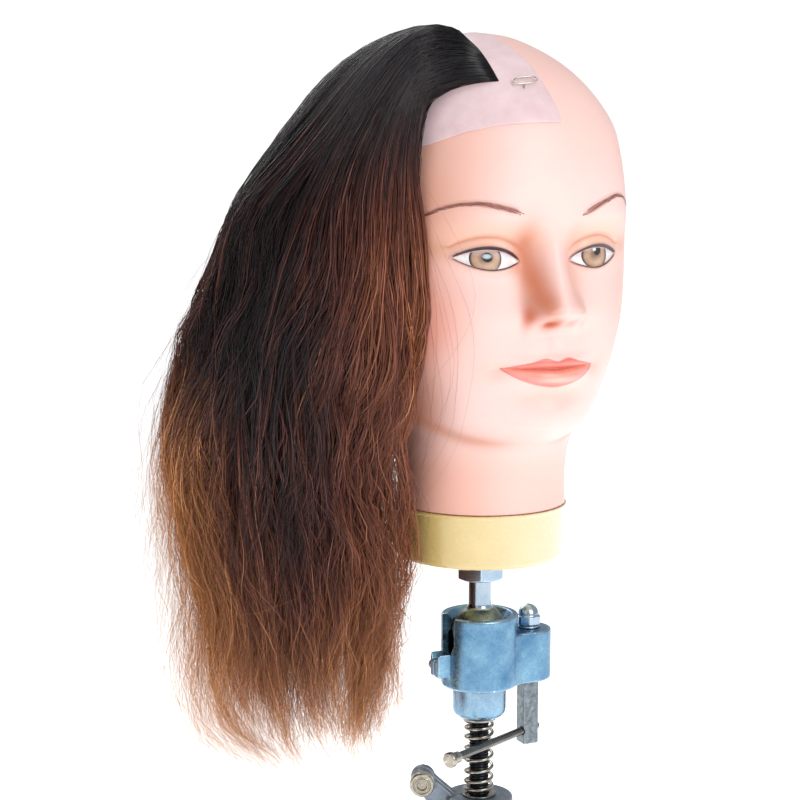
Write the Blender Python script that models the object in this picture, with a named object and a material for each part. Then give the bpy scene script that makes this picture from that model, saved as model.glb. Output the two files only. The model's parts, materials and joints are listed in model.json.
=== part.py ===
"""Mannequin training head on a ball-jointed table clamp.

Sizes are in millimetres and MILLI turns them into metres; +Z is up.  The
origin lies on the post's axis, in the plane where the clamp's upper jaw rests
on the table.  The face looks toward -Y, so the head's own right is -X.
"""
import math
import bpy
import bmesh
import numpy as np
from mathutils import Matrix, Vector

MILLI = 0.001

# ------------------------------------------------------------ main sizes
GAP = 0.3               # between neighbouring pieces
HUB_R = 18.8            # post hub on the clamp's upper jaw
HUB_TOP = 38.0
POST_R = 5.5            # spindle
COLLAR_BOT = 83.0       # lower collar
COLLAR_FLOOR = 93.0
COLLAR_R = 14.65
NECK_R = 12.2           # collar's neck, inside the housing
HOUSE_BOT = 101.5       # ball housing
HOUSE_TOP = 141.0
HOUSE_R = 21.0
BALL_Z = 131.0
BALL_R = 15.0
STUD_R = 6.25
LUG_X = 30.0            # axis of the cam shaft
LUG_R = 12.5
LUG_BOT, LUG_TOP = 101.0, 130.0
NUT_BOT, NUT_TOP = 160.4, 174.0
CAP_BOT, CAP_TOP = 174.4, 203.9
CAP_FLOOR = CAP_BOT + 4.0
CAP_R = 46.2

# Looks: base colour, roughness, metallic
ZINC = ((0.42, 0.55, 0.68), 0.28, 1.0)
CHROME = ((0.78, 0.80, 0.82), 0.12, 1.0)
STEEL = ((0.42, 0.41, 0.38), 0.35, 1.0)
DARK = ((0.07, 0.07, 0.08), 0.4, 1.0)
CAST = ((0.33, 0.36, 0.40), 0.5, 0.8)
RUBBER = ((0.03, 0.03, 0.03), 0.85, 0.0)
NYLON = ((0.85, 0.84, 0.80), 0.45, 0.0)
YELLOW = ((0.86, 0.76, 0.42), 0.25, 0.0)
SKIN = ((0.93, 0.72, 0.62), 0.42, 0.0)
FOAM = ((0.90, 0.86, 0.70), 0.95, 0.0)
PATCH = ((0.86, 0.66, 0.66), 0.45, 0.0)
HAIR = ((0.09, 0.045, 0.025), 0.5, 0.0)
BRASS = ((0.72, 0.52, 0.22), 0.3, 1.0)

for old in list(bpy.data.objects):
    bpy.data.objects.remove(old, do_unlink=True)


# ------------------------------------------------------------ helpers
def material(name, look):
    colour, roughness, metallic = look
    result = bpy.data.materials.new(name)
    result.use_nodes = True
    inputs = result.node_tree.nodes["Principled BSDF"].inputs
    inputs["Base Color"].default_value = (*colour, 1.0)
    inputs["Roughness"].default_value = roughness
    inputs["Metallic"].default_value = metallic
    return result


def finish(name, shape, look, place=None, sharp=35.0):
    """Turn the bmesh into an object; without a look it is a hidden boolean tool."""
    bmesh.ops.recalc_face_normals(shape, faces=shape.faces)
    mesh = bpy.data.meshes.new(name)
    shape.to_mesh(mesh)
    shape.free()
    piece = bpy.data.objects.new(name, mesh)
    bpy.context.collection.objects.link(piece)
    if place is not None:
        piece.matrix_world = place
    if look is None:
        piece.hide_render = True
        piece.display_type = "WIRE"
    else:
        mesh.materials.append(material(name, look))
        mesh.shade_smooth()
        mesh.set_sharp_from_angle(angle=math.radians(sharp))
    return piece


def at(x, y, z, towards=None):
    """Placement at a point; the piece's +Z is turned towards a direction."""
    location = Matrix.Translation(Vector((x, y, z)) * MILLI)
    if towards is None:
        return location
    return location @ Vector(towards).to_track_quat("Z", "Y").to_matrix().to_4x4()


def upright(across, outward):
    """Placement of a prism whose outline runs (across, up), extruded outward."""
    return Matrix((across, (0, 0, 1), outward)).transposed().to_4x4()


def turned(name, profile, look=None, steps=22, place=None):
    """Solid of revolution about its own Z from (radius, height) points.

    A profile that starts off the axis is closed into a ring.
    """
    shape = bmesh.new()
    points = [shape.verts.new((radius * MILLI, 0, z * MILLI)) for radius, z in profile]
    edges = [shape.edges.new(pair) for pair in zip(points, points[1:])]
    if profile[0][0] > 0:
        edges.append(shape.edges.new((points[-1], points[0])))
    bmesh.ops.spin(shape, geom=points + edges, cent=(0, 0, 0), axis=(0, 0, 1), dvec=(0, 0, 0),
                   angle=2 * math.pi, steps=steps, use_merge=True, use_duplicate=False)
    bmesh.ops.remove_doubles(shape, verts=shape.verts, dist=1e-7)
    return finish(name, shape, look, place)


def tube(name, outer_r, inner_r, bottom, top, look, steps, place=None):
    profile = [(inner_r, bottom), (outer_r, bottom), (outer_r, top), (inner_r, top)]
    return turned(name, profile, look, steps, place)


def drum(name, radius, bottom, top, look=None, steps=22, place=None, chamfer=0.0):
    profile = [(0, bottom), (radius, bottom), (radius, top), (0, top)]
    if chamfer:
        profile = [(0, bottom), (radius - chamfer, bottom), (radius, bottom + chamfer),
                   (radius, top - chamfer), (radius - chamfer, top), (0, top)]
    return turned(name, profile, look, steps, place)


def prism(name, outline, bottom, top, look=None, place=None, bevel=0.0):
    """Flat outline extruded along its own Z."""
    shape = bmesh.new()
    base = shape.faces.new([shape.verts.new((x * MILLI, y * MILLI, bottom * MILLI))
                            for x, y in outline])
    extruded = bmesh.ops.extrude_face_region(shape, geom=[base])["geom"]
    bmesh.ops.translate(shape, vec=(0, 0, (top - bottom) * MILLI),
                        verts=[item for item in extruded if isinstance(item, bmesh.types.BMVert)])
    if bevel:
        bmesh.ops.bevel(shape, geom=list(shape.edges), offset=bevel * MILLI, segments=1,
                        affect="EDGES", profile=0.5)
    return finish(name, shape, look, place)


def block(name, x_range, y_range, z_range, look=None, place=None, bevel=0.0):
    (x0, x1), (y0, y1) = x_range, y_range
    return prism(name, [(x0, y0), (x1, y0), (x1, y1), (x0, y1)], *z_range, look, place, bevel)


def hexagon(across_flats, phase=0.0):
    radius = across_flats / 2 / math.cos(math.pi / 6)
    angles = [phase + 2 * math.pi * k / 6 for k in range(6)]
    return [(radius * math.cos(angle), radius * math.sin(angle)) for angle in angles]


def arc(radius, degrees):
    """Profile points on a sphere about the origin, angles counted from its bottom."""
    return [(radius * math.sin(math.radians(angle)), -radius * math.cos(math.radians(angle)))
            for angle in degrees]


def cut(target, *tools, operation="DIFFERENCE"):
    for tool in tools:
        modifier = target.modifiers.new(tool.name, "BOOLEAN")
        modifier.operation = operation
        modifier.solver = "EXACT"
        modifier.object = tool


def join(target, *tools):
    cut(target, *tools, operation="UNION")


def add_row(shape, points):
    return [shape.verts.new(point) for point in points]


def bridge(shape, row, following, closed=True):
    """Quads between two rows of vertices; closed rows are rings."""
    count = len(row)
    for j in range(count if closed else count - 1):
        k = (j + 1) % count
        shape.faces.new((row[j], row[k], following[k], following[j]))


def bridge_all(shape, rows, closed=True):
    for row, following in zip(rows, rows[1:]):
        bridge(shape, row, following, closed)


def rim(rows):
    """The vertices round the border of an open sheet."""
    return (rows[0] + [row[-1] for row in rows[1:]] + rows[-1][-2::-1]
            + [row[0] for row in rows[-2:0:-1]])


# ------------------------------------------------------------ table clamp
CLAMP_Y = -14.0         # clamp screw's axis
ARM_BOT, ARM_TOP = -96, -82
JAW_BOT = 3.3           # the jaw pad fills the space below, down to the table
WEB_DIR = Vector((-0.891, 0.454, 0.0))              # from the post to the pinch boss
PINCH_DIR = Vector((-WEB_DIR.y, WEB_DIR.x, 0.0))    # axis of the pinch screw
CLAMP_AXIS = at(0, CLAMP_Y, 0)
PINCH_AXIS = at(-27.6, 14.07, 46.0, PINCH_DIR)
WEB_PLANE = upright(WEB_DIR, PINCH_DIR)

# C-shaped frame, (y, z) points
CLAMP_OUTLINE = [
    (-44, JAW_BOT), (22, JAW_BOT), (24, 1.3), (24, -80), (22, ARM_TOP), (-28, ARM_TOP),
    (-28, ARM_BOT), (30, ARM_BOT), (36, -90), (36, 8), (31, 13), (-36, 13), (-44, 8)]
# Web from hub to pinch boss, (distance from the post's axis, z) points
WEB_OUTLINE = [(8, 24), (17, 16), (31.5, 39.4), (31, 52.6), (26, 49), (12, 37)]

clamp = prism("clamp_frame", CLAMP_OUTLINE, -11, 11, CAST, upright((0, 1, 0), (1, 0, 0)), bevel=1.2)
pinch_hole = drum("cut_pinch_hole", 2.3, -14, 9, steps=14, place=PINCH_AXIS)
join(clamp,
     block("cut_jaw", (-20, 20), (-44, 20), (JAW_BOT, 10.0), bevel=1.0),
     drum("cut_hub", HUB_R, 4.0, HUB_TOP, steps=25, chamfer=0.9),
     drum("cut_eye", 13.0, ARM_BOT, ARM_TOP, steps=16, place=CLAMP_AXIS),
     prism("cut_web", WEB_OUTLINE, -5.5, 5.5, place=WEB_PLANE),
     drum("cut_boss", 6.75, -6, 6, steps=16, place=PINCH_AXIS))
cut(clamp,
    drum("cut_post_bore", POST_R + 0.35, 4.6, 60),
    prism("cut_split", [(0, 14), (44, 14), (44, 60), (0, 60)], -0.7, 0.7, place=WEB_PLANE),
    pinch_hole,
    drum("cut_bush_bore", 7.3, -100, -76, steps=16, place=CLAMP_AXIS))

block("jaw_pad", (-19, 19), (-43, 19), (0.0, JAW_BOT - GAP), RUBBER)
turned("clamp_bush",
       [(5.3, ARM_BOT - 1), (7.0, ARM_BOT - 1), (7.0, ARM_TOP + GAP), (9.5, ARM_TOP + GAP),
        (9.5, -79), (5.3, -79)], BRASS, 16, CLAMP_AXIS)

# pinch screw of the post hub, with its head in front and its nut behind
turned("lock_screw",
       [(0, -12.6), (1.9, -12.6), (1.9, 6.3), (6.75, 6.3), (6.75, 10.4), (6.2, 11.0),
        (4.2, 11.0), (3.6, 10.0), (0, 10.0)], STEEL, 16, PINCH_AXIS)
lock_nut = prism("lock_nut", hexagon(7.5), -9.9, -6.3, STEEL, PINCH_AXIS)
cut(lock_nut, pinch_hole)

# swivel pad on the clamp screw, below the table
turned("swivel_pad",
       [(0, -40), (15, -40), (15, -43.5), (13.5, -45), (7.6, -45), (7.6, -50),
        (3.6, -50), (3.6, -42.6), (0, -42.6)], CAST, 19, CLAMP_AXIS)
drum("pad_cap", 15.4, -40 + GAP, -37.7, RUBBER, 19, CLAMP_AXIS, chamfer=0.6)

# clamp screw and its sliding cross bar
CLAMP_BAR_Z = -175
CLAMP_BAR_AXIS = at(0, CLAMP_Y, CLAMP_BAR_Z, (1, 0, 0))
screw = turned("clamp_screw",
               [(0, -183), (6.6, -183), (7.6, -182), (7.6, -168.5), (6.6, -167.5), (4.9, -165),
                (4.9, -51.2), (4.2, -50.5), (3.25, -50.5), (3.25, -43), (0, -43)],
               STEEL, 16, CLAMP_AXIS)
cut(screw, drum("cut_bar_bore", 2.6, -12, 12, steps=12, place=CLAMP_BAR_AXIS))
drum("clamp_bar", 2.3, -36, 36, STEEL, 12, CLAMP_BAR_AXIS, chamfer=0.4)
for side, side_name in ((-1, "left"), (1, "right")):
    turned("clamp_bar_cap_" + side_name,
           [(0, 36.4), (2.6, 36.4), (2.6, 30), (4.0, 30), (4.9, 33), (4.9, 37.5), (3.4, 40.5),
            (0, 41)], DARK, 14, at(0, CLAMP_Y, CLAMP_BAR_Z, (side, 0, 0)))

# ------------------------------------------------------------ post and spring
turned("spindle",
       [(0, 18.5), (4.7, 18.5), (POST_R, 19.3), (POST_R, 94.6), (8.3, 94.6), (8.3, 98.2),
        (0, 98.2)], DARK, 19)
tube("spring_seat_lower", 9.4, 5.9, HUB_TOP + GAP, HUB_TOP + 1.3, STEEL, 19)
tube("spring_seat_upper", 9.4, 5.9, 81.5, 82.6, STEEL, 19)


def coil(name, radius, wire_r, bottom, top, turns, look, per_turn=12, around=5):
    """Round wire wound on a helix; the end turns lie closer together."""
    shape = bmesh.new()
    count = int(turns * per_turn)
    rings = []
    for i in range(count + 1):
        part = i / count
        turn = 2 * math.pi * turns * part
        eased = 0.5 - 0.5 * math.cos(math.pi * min(1, max(0, (part - 0.02) / 0.96)))
        z = bottom + (top - bottom) * (0.55 * part + 0.45 * eased)
        outward = Vector((math.cos(turn), math.sin(turn), 0))
        ring = []
        for j in range(around):
            angle = 2 * math.pi * j / around
            point = outward * (radius + wire_r * math.cos(angle))
            point += Vector((0, 0, z + wire_r * math.sin(angle)))
            ring.append(point * MILLI)
        rings.append(add_row(shape, ring))
    bridge_all(shape, rings)
    shape.faces.new(rings[0][::-1])
    shape.faces.new(rings[-1])
    return finish(name, shape, look)


coil("spring", radius=7.35, wire_r=0.95, bottom=40.7, top=80.2, turns=7.6, look=STEEL)

# ------------------------------------------------------------ ball holder
turned("lower_collar",
       [(POST_R + 0.4, COLLAR_BOT), (10.6, COLLAR_BOT), (13.6, COLLAR_BOT + 1.6),
        (COLLAR_R, COLLAR_BOT + 4.2), (COLLAR_R, HOUSE_BOT - GAP), (NECK_R, HOUSE_BOT - GAP),
        (NECK_R, 105.6), (9.0, 105.6), (9.0, COLLAR_FLOOR), (POST_R + 0.4, COLLAR_FLOOR)], ZINC)
tube("thrust_washer", 8.6, 5.8, COLLAR_FLOOR + GAP, COLLAR_FLOOR + 1.3, BRASS, 19)

# housing: a cup with a cam lug at +X and a pair of screw ears at -X
CAM_AXIS = at(LUG_X, 0, 0)
PLUNGER_AXIS = at(0, 0, 125, (1, 0, 0))
EAR_AXIS = at(-23.9, 0, 113, (0, 1, 0))
LIP_R = BALL_R + 0.5    # hollow of the lip that holds the ball in

# (radius, height) points
CAVITY = [(0, 106), (16.9, 106), (16.9, BALL_Z - 0.5)]
CAVITY += [(LIP_R * math.cos(math.radians(angle)), BALL_Z + LIP_R * math.sin(math.radians(angle)))
           for angle in (0, 8, 15, 21)]
CAVITY += [(18.3, 142.0), (0, 142.0)]
# Slot in the wall that lets the stud tilt toward -X, (y, z) points
SLOT_OUTLINE = [(-2.4, 117), (2.4, 117), (5.5, 121.5), (7.75, 126), (7.75, 145), (-7.75, 145),
                (-7.75, 126), (-5.5, 121.5)]

house = drum("socket_housing", HOUSE_R, HOUSE_BOT, HOUSE_TOP, ZINC, 28, chamfer=0.8)
join(house,
     drum("cut_lug", LUG_R, LUG_BOT, LUG_TOP, steps=19, chamfer=0.8, place=CAM_AXIS),
     block("cut_bridge", (12, LUG_X), (-LUG_R + 0.1, LUG_R - 0.1),
           (HOUSE_BOT + 0.2, LUG_TOP - 0.1)),
     block("cut_ears", (-27.4, -18), (-5.2, 5.2), (108, 124.5), bevel=0.5))
cut(house,
    turned("cut_cavity", CAVITY, steps=28),
    drum("cut_neck_bore", NECK_R + GAP, 100, 107),
    drum("cut_cam_bore", 5.3, 99, 133, steps=16, place=CAM_AXIS),
    drum("cut_pad_bore", 4.5, 12.0, 27.0, steps=14, place=PLUNGER_AXIS),
    prism("cut_slot", SLOT_OUTLINE, 8, 30, place=upright((0, 1, 0), (-1, 0, 0))),
    block("cut_ear_split", (-30, -12), (-0.7, 0.7), (107, 119)),
    drum("cut_ear_hole", 1.9, -4.2, 12, steps=12, place=EAR_AXIS))

turned("ear_screw",
       [(0, -3.9), (1.6, -3.9), (1.6, 5.5), (3.1, 5.5), (3.1, 8.2), (2.7, 8.6), (1.3, 8.6),
        (1.3, 6.9), (0, 6.9)], STEEL, 12, EAR_AXIS)

# cam shaft: square below the lug, eccentric lobe beside the plunger
TOMMY_ANGLE = math.radians(26.0)
TOMMY_AXIS = at(LUG_X, 0, 71.5, (-math.cos(TOMMY_ANGLE), -math.sin(TOMMY_ANGLE), 0))
SQUARE_BOT, SQUARE_TOP = 64, 100.6
ECCENTRICITY = 0.65
cam = turned("cam_shaft",
             [(0, SQUARE_BOT), (3.4, SQUARE_BOT), (4.2, 64.8), (4.2, SQUARE_TOP),
              (5.0, SQUARE_TOP), (5.0, 118.0), (3.0, 118.0), (3.0, 139.0), (0, 139.0)],
             STEEL, 16, CAM_AXIS)
join(cam,
     block("cut_square", (-4.6, 4.6), (-4.6, 4.6), (SQUARE_BOT, SQUARE_TOP), bevel=0.4,
           place=CAM_AXIS),
     drum("cut_lobe", 4.3, 117.5, 129.4, steps=16, place=at(LUG_X + ECCENTRICITY, 0, 0)))
cut(cam, drum("cut_cross", 2.5, -12, 12, steps=12, place=TOMMY_AXIS))
tube("cam_washer", 6.5, 3.3, LUG_TOP + GAP, LUG_TOP + 1.4, STEEL, 16, CAM_AXIS)
acorn = turned("acorn_nut",
               [(0, 139.4), (3.3, 139.4), (3.3, 131.7), (6.0, 131.7), (6.7, 132.3), (6.7, 136.6),
                (5.9, 137.2), (5.2, 139.6), (3.8, 141.6), (2.0, 142.7), (0, 143.0)],
               CHROME, 16, CAM_AXIS)
cut(acorn, prism("cut_acorn_flats", hexagon(12.4, phase=0.3), 128, 146, place=CAM_AXIS),
    operation="INTERSECT")
drum("tommy_bar", 2.2, -9.0, 66.0, STEEL, 12, TOMMY_AXIS, chamfer=0.4)
turned("tommy_bar_button",
       [(0, 66.4), (2.5, 66.4), (2.5, 62.0), (3.0, 62.0), (3.2, 65.5), (4.2, 68.0), (4.2, 69.8),
        (3.6, 70.6), (0, 70.6)], STEEL, 14, TOMMY_AXIS)

# plunger that the cam presses towards the ball, hollowed to clear it
plunger = drum("pressure_pad", 4.2, 13.0, 26.05, BRASS, 14, PLUNGER_AXIS)
cut(plunger, turned("cut_ball_clear", arc(BALL_R + 1.1, range(0, 181, 12)), steps=21,
                    place=at(0, 0, BALL_Z)))

# nylon seat below the ball, and the ball with its stud
SEAT_ANGLES = (0, 9, 18, 27, 36, 43)
turned("ball_seat", arc(BALL_R + 1.5, SEAT_ANGLES) + arc(BALL_R + 0.4, SEAT_ANGLES[::-1]),
       NYLON, 19, at(0, 0, BALL_Z))
stud_foot = BALL_R * math.cos(math.asin(STUD_R / BALL_R))
turned("ball_stud",
       arc(BALL_R, [12.5 * k for k in range(13)])
       + [(STUD_R, stud_foot), (STUD_R, 64.2), (5.5, 65.0), (0, 65.0)],
       CHROME, 19, at(0, 0, BALL_Z))

nut = turned("hex_locknut",
             [(6.6, NUT_BOT), (11.6, NUT_BOT), (13.9, NUT_BOT + 1.3), (13.9, NUT_TOP - 1.3),
              (11.6, NUT_TOP), (6.6, NUT_TOP)], CHROME, 16)
cut(nut, prism("cut_nut_flats", hexagon(24.0, phase=0.12), NUT_BOT - 2, NUT_TOP + 2),
    operation="INTERSECT")

# ------------------------------------------------------------ neck cap and insert
INSERT_BOT = CAP_FLOOR + GAP
SCREW_CIRCLE_R = 16.5
cap = turned("neck_cap",
             [(9.0, CAP_BOT), (42.0, CAP_BOT), (44.2, CAP_BOT + 0.9), (45.0, CAP_BOT + 2.6),
              (45.6, 201.6), (CAP_R, 202.2), (CAP_R, CAP_TOP), (43.4, CAP_TOP),
              (43.0, CAP_FLOOR), (9.0, CAP_FLOOR)], YELLOW, 33)
insert = turned("threaded_insert",
                [(6.65, INSERT_BOT), (22.0, INSERT_BOT), (22.0, 182.0), (10.5, 182.0),
                 (10.5, 197.5), (6.65, 197.5)], BRASS, 19)
for k in range(3):
    angle = math.radians(90 + 120 * k)
    axis = at(SCREW_CIRCLE_R * math.cos(angle), SCREW_CIRCLE_R * math.sin(angle), 0)
    hole = drum("cut_insert_hole_%d" % k, 2.0, 175.4, 190, steps=12, place=axis)
    cut(cap, hole)
    cut(insert, hole)
    turned("insert_screw_%d" % (k + 1),
           [(0, 175.8), (1.6, 175.8), (1.6, 182.4), (3.6, 182.4), (3.4, 184.2), (2.2, 184.8),
            (0, 184.8)], STEEL, 12, axis)

# ------------------------------------------------------------ the head's surface
# One row per ring of the head: front height, front depth, back height, back
# depth, half width, depth of the widest point, roundness of the front half.
RINGS = np.array([
    (204.2, -45.5, 204.2, 45.5, 45.5, 0.0, 2.0),
    (212.0, -45.0, 213.0, 45.0, 45.0, 0.0, 2.0),
    (222.0, -45.3, 228.0, 45.5, 45.3, 0.0, 2.0),
    (232.0, -47.0, 243.0, 48.0, 46.5, 0.0, 2.0),
    (239.0, -51.0, 257.0, 53.0, 49.0, 1.0, 1.95),
    (243.0, -58.0, 270.0, 60.0, 53.0, 3.0, 1.85),
    (246.5, -66.0, 282.0, 68.0, 56.5, 5.0, 1.78),
    (253, -73.5, 293, 75, 61, 6, 1.75),
    (262, -77, 303, 81, 64.8, 7, 1.78),
    (273, -79, 313, 86.5, 68.4, 8, 1.85),
    (285, -80, 323, 91, 70.8, 8, 1.92),
    (298, -80, 334, 95, 72.2, 8, 2),
    (312, -79, 345, 98, 73.4, 8, 2.05),
    (327, -78.4, 357, 100, 74.6, 8, 2.1),
    (342, -79.5, 369, 101, 74.8, 8, 2.15),
    (357, -81.3, 381, 101, 74.2, 8.5, 2.2),
    (372, -81.8, 392, 99.5, 72.6, 9, 2.2),
    (387, -80.4, 402.5, 96, 69.6, 9.5, 2.2),
    (401, -76.6, 413, 90, 65.4, 10, 2.2),
    (414, -69.5, 422.5, 82, 58.8, 10, 2.15),
    (426, -59, 431.5, 71.5, 50, 10, 2.1),
    (436, -46, 439.5, 58.5, 39.5, 10, 2.05),
    (444, -31, 446, 43, 27, 10, 2),
    (449.5, -14.5, 450.3, 25, 14.5, 8, 2),
    (452.0, 3.0, 452.0, 5.0, 1.0, 4.0, 2.0),
])
TOP_LEVEL = len(RINGS) - 1.0

# Nose bridge: z, height, half width
NOSE_Z, NOSE_HEIGHT, NOSE_WIDTH = np.array([
    (294, 0, 12), (297, 1.8, 12), (300, 7.0, 12), (303, 12.5, 12), (306, 15.2, 11.6),
    (309, 15.6, 11.0), (314, 14.0, 9.8), (320, 11.6, 8.6), (328, 8.6, 7.4), (336, 5.8, 6.6),
    (344, 3.2, 6.4), (352, 1.2, 7.0), (360, 0, 8.0)]).T

# Soft mounds and hollows, mirrored in x: height, centre x, centre z, spread x, spread z
MOUNDS = [
    (6.6, 11.0, 306.5, 4.1, 4.6),       # wings of the nose
    (2.2, 27, 359, 16, 6.5),            # brow
    (-7.0, 29, 341.5, 17.0, 10.5),      # eye socket
    (-4.5, 13.5, 338.5, 5.2, 7.0),      # inner corner of the eye
    (3.5, 31, 338.5, 12, 6),            # eyeball
    (3.2, 43, 315, 16, 14),             # cheek
    (3.0, 0, 283, 21, 13),              # mouth
    (-2.4, 0, 271.5, 17, 4.5),          # hollow below the lips
    (4.8, 0, 255, 14, 9),               # chin
]
# Lips: height, centre z, spread z, half width
LIPS = [(1.6, 288.2, 3.5, 17), (2.4, 280.2, 4.0, 15)]


def ring_row(level):
    """Catmull-Rom interpolation of RINGS at fractional row numbers."""
    level = np.clip(np.asarray(level, float), 0, len(RINGS) - 1.0001)
    i = np.floor(level).astype(int)
    u = (level - i)[..., None]
    before, start, end, after = (RINGS[np.clip(i + k, 0, len(RINGS) - 1)] for k in (-1, 0, 1, 2))
    return 0.5 * (2 * start + (end - before) * u
                  + (2 * before - 5 * start + 4 * end - after) * u * u
                  + (3 * start - before - 3 * end + after) * u ** 3)


def smooth(low, high, value):
    part = np.clip((value - low) / (high - low), 0, 1)
    return part * part * (3 - 2 * part)


def skull(level, angle):
    """Featureless head; angle 0 is the front, negative angles lie at -X."""
    front_z, front_y, back_z, back_y, half_width, widest_y, roundness = np.moveaxis(
        ring_row(level), -1, 0)
    sine, cosine = np.sin(angle), np.cos(angle)
    power = 2 / np.where(cosine > 0, roundness, 2.0)
    x = half_width * np.sign(sine) * np.abs(sine) ** power
    reach = np.sign(cosine) * np.abs(cosine) ** power
    depth = np.where(cosine > 0, widest_y - front_y, back_y - widest_y)
    return x, widest_y - depth * reach, front_z + (back_z - front_z) * (1 - cosine) / 2


def face(x, z):
    """How far the features stand out of the skull's front, toward -Y."""
    x = np.abs(x)
    width = np.interp(z, NOSE_Z, NOSE_WIDTH)
    relief = np.interp(z, NOSE_Z, NOSE_HEIGHT) * (
        0.74 * np.exp(-(x / width) ** 2.3) + 0.26 * np.exp(-(x / (1.75 * width)) ** 2))
    for height, mid_x, mid_z, spread_x, spread_z in MOUNDS:
        relief += height * np.exp(-0.5 * ((x - mid_x) / spread_x) ** 2
                                  - 0.5 * ((z - mid_z) / spread_z) ** 2)
    for height, mid_z, spread_z, width in LIPS:
        relief += height * np.exp(-((z - mid_z) / spread_z) ** 2 - (x / width) ** 4)
    return relief


def head_point(level, angle, detailed=True):
    """Point in metres; without detail the ears and raised features are left out."""
    x, y, z = skull(level, angle)
    relief = face(x, z)
    if detailed:
        ear = np.exp(-((z - 339) / 21) ** 4 - ((y - 20) / 10) ** 4)
        x = x + np.sign(x) * 10.5 * ear
        y = y + 3.0 * ear
    else:
        relief = np.minimum(relief, 0)
    front = smooth(0.10, 0.45, np.cos(angle))
    return np.stack([x, y - relief * front, z], -1) * MILLI


def ring_angles(columns):
    """Angles round the head, closer together toward the face."""
    even = np.linspace(-math.pi, math.pi, columns, endpoint=False)
    return even - 0.32 * np.sin(even)


def grid(levels, columns, detailed=True):
    """Rings of points from the neck up, and the crown point."""
    angles = ring_angles(columns)
    rings = [head_point(np.full(columns, level), angles, detailed) for level in levels]
    return rings, head_point(np.array(TOP_LEVEL), np.array(0.0), detailed)


def offset_rings(rings, crown, distance):
    """The same rings moved along the surface's own normals."""
    points = np.stack(rings)
    east = np.roll(points, -1, 1) - np.roll(points, 1, 1)
    normals = np.cross(east, np.gradient(points, axis=0))
    normals /= np.linalg.norm(normals, axis=-1, keepdims=True)
    return (list(points + normals * distance * MILLI),
            crown + np.array([0, 0, distance * MILLI]))


def dome(shape, rings, crown, closed=True):
    """Skin over the rings, with a fan up to the crown; returns its vertex rows."""
    rows = [add_row(shape, ring) for ring in rings]
    top = shape.verts.new(crown)
    bridge_all(shape, rows, closed)
    last = rows[-1]
    for j in range(len(last) if closed else len(last) - 1):
        shape.faces.new((last[j], last[(j + 1) % len(last)], top))
    return rows + [[top]]


# ------------------------------------------------------------ hollow skin
COLUMNS = 36
PATCH_LEVEL = 18.2      # lower border of the hairpiece base
OUTER_LEVELS = [0, 2, 3, 4, 5, 6, 7, 8, 8.8, 9.5, 10.1, 10.8, 11.4, 12, 12.6, 13.3, 14, 14.8,
                16, 17.2, PATCH_LEVEL, 19.4, 20.6, 21.8, 23]
INNER_LEVELS = [0, 2, 4, 5, 6.5, 8.5, 11, 13.5, 16, 18, 20, 22]
outer, crown = grid(OUTER_LEVELS, COLUMNS)
inner, inner_crown = offset_rings(*grid(INNER_LEVELS, COLUMNS, detailed=False), -3.6)
inner[0][:, 2] = outer[0][:, 2]     # flat lower edge

skin = bmesh.new()
outer_rows = dome(skin, outer, crown)
inner_rows = dome(skin, inner, inner_crown)
bridge(skin, inner_rows[0], outer_rows[0])
finish("head_skin", skin, SKIN, sharp=60)

# ------------------------------------------------------------ foam core
FOAM_COLUMNS = 20
FOAM_NECK_R = 39.0
FOAM_LEVELS = [2, 4, 5, 6.5, 9, 12, 14, 16, 18, 20, 22]
foam, foam_crown = offset_rings(*grid(FOAM_LEVELS, FOAM_COLUMNS, detailed=False), -6.6)
angles = ring_angles(FOAM_COLUMNS)
neck = [np.stack([FOAM_NECK_R * np.sin(angles), -FOAM_NECK_R * np.cos(angles),
                  np.full(FOAM_COLUMNS, z)], -1) * MILLI for z in (199.5, 208.0)]
core = bmesh.new()
core_rows = dome(core, neck + foam, foam_crown)
core.faces.new(core_rows[0][::-1])
finish("foam_core", core, FOAM, sharp=60)

# ------------------------------------------------------------ hairpiece base
# a thin skin over the right half of the scalp
first = OUTER_LEVELS.index(PATCH_LEVEL)
patch = bmesh.new()
rims = []
for distance in (0.45, 1.2):
    rings, top = offset_rings(outer, crown, distance)
    half = [ring[:COLUMNS // 2 + 1] for ring in rings[first:]]
    rims.append(rim(dome(patch, half, top, closed=False)))
bridge(patch, *rims)
finish("hairpiece_base", patch, PATCH, sharp=60)

# ------------------------------------------------------------ hair
# A closed drape: an inner sheet that clears the scalp and an outer sheet.
# Columns (u) run from the front edge 0 round to the back 1, rows (v) from the
# parting 0 down to the tips 1.
HAIR_COLUMNS = 15
LEAVE_V = 0.42          # from here on the hair hangs free of the head
LAST_ON_HEAD = 0.4199
HAIR_ROWS = [0.0, 0.05, 0.10, 0.16, 0.22, 0.29, 0.36, LAST_ON_HEAD, 0.50, 0.58, 0.66, 0.74,
             0.82, 0.9, 1.0]
PARTING_LEVEL, CHEEK_LEVEL = 23.3, 12.6
HEAD_CENTRE = Vector((0, 12, 350))


def hair_on_head(u, v, is_outer):
    down = v / LEAVE_V
    level = PARTING_LEVEL - (PARTING_LEVEL - CHEEK_LEVEL) * down ** 1.15
    if down < 0.35:     # the parting starts lower at the forehead
        level = min(level, 19.7 + 3.6 * smooth(0.0, 0.30, u))
    angle = math.radians(-24 - 132 * u - 26 * down * (1 - u))
    base = Vector(head_point(np.array(level), np.array(angle)).tolist()) / MILLI
    lift = 3.4
    if is_outer:
        lift += 5.0 + 34.0 * down ** 0.9 * math.sin(math.pi * (0.20 + 0.62 * u))
    lift += 3.5 * math.exp(-((base.z - 348) / 24) ** 2 - ((base.y - 20) / 22) ** 2)  # over the ear
    return base + (base - HEAD_CENTRE).normalized() * lift


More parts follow.
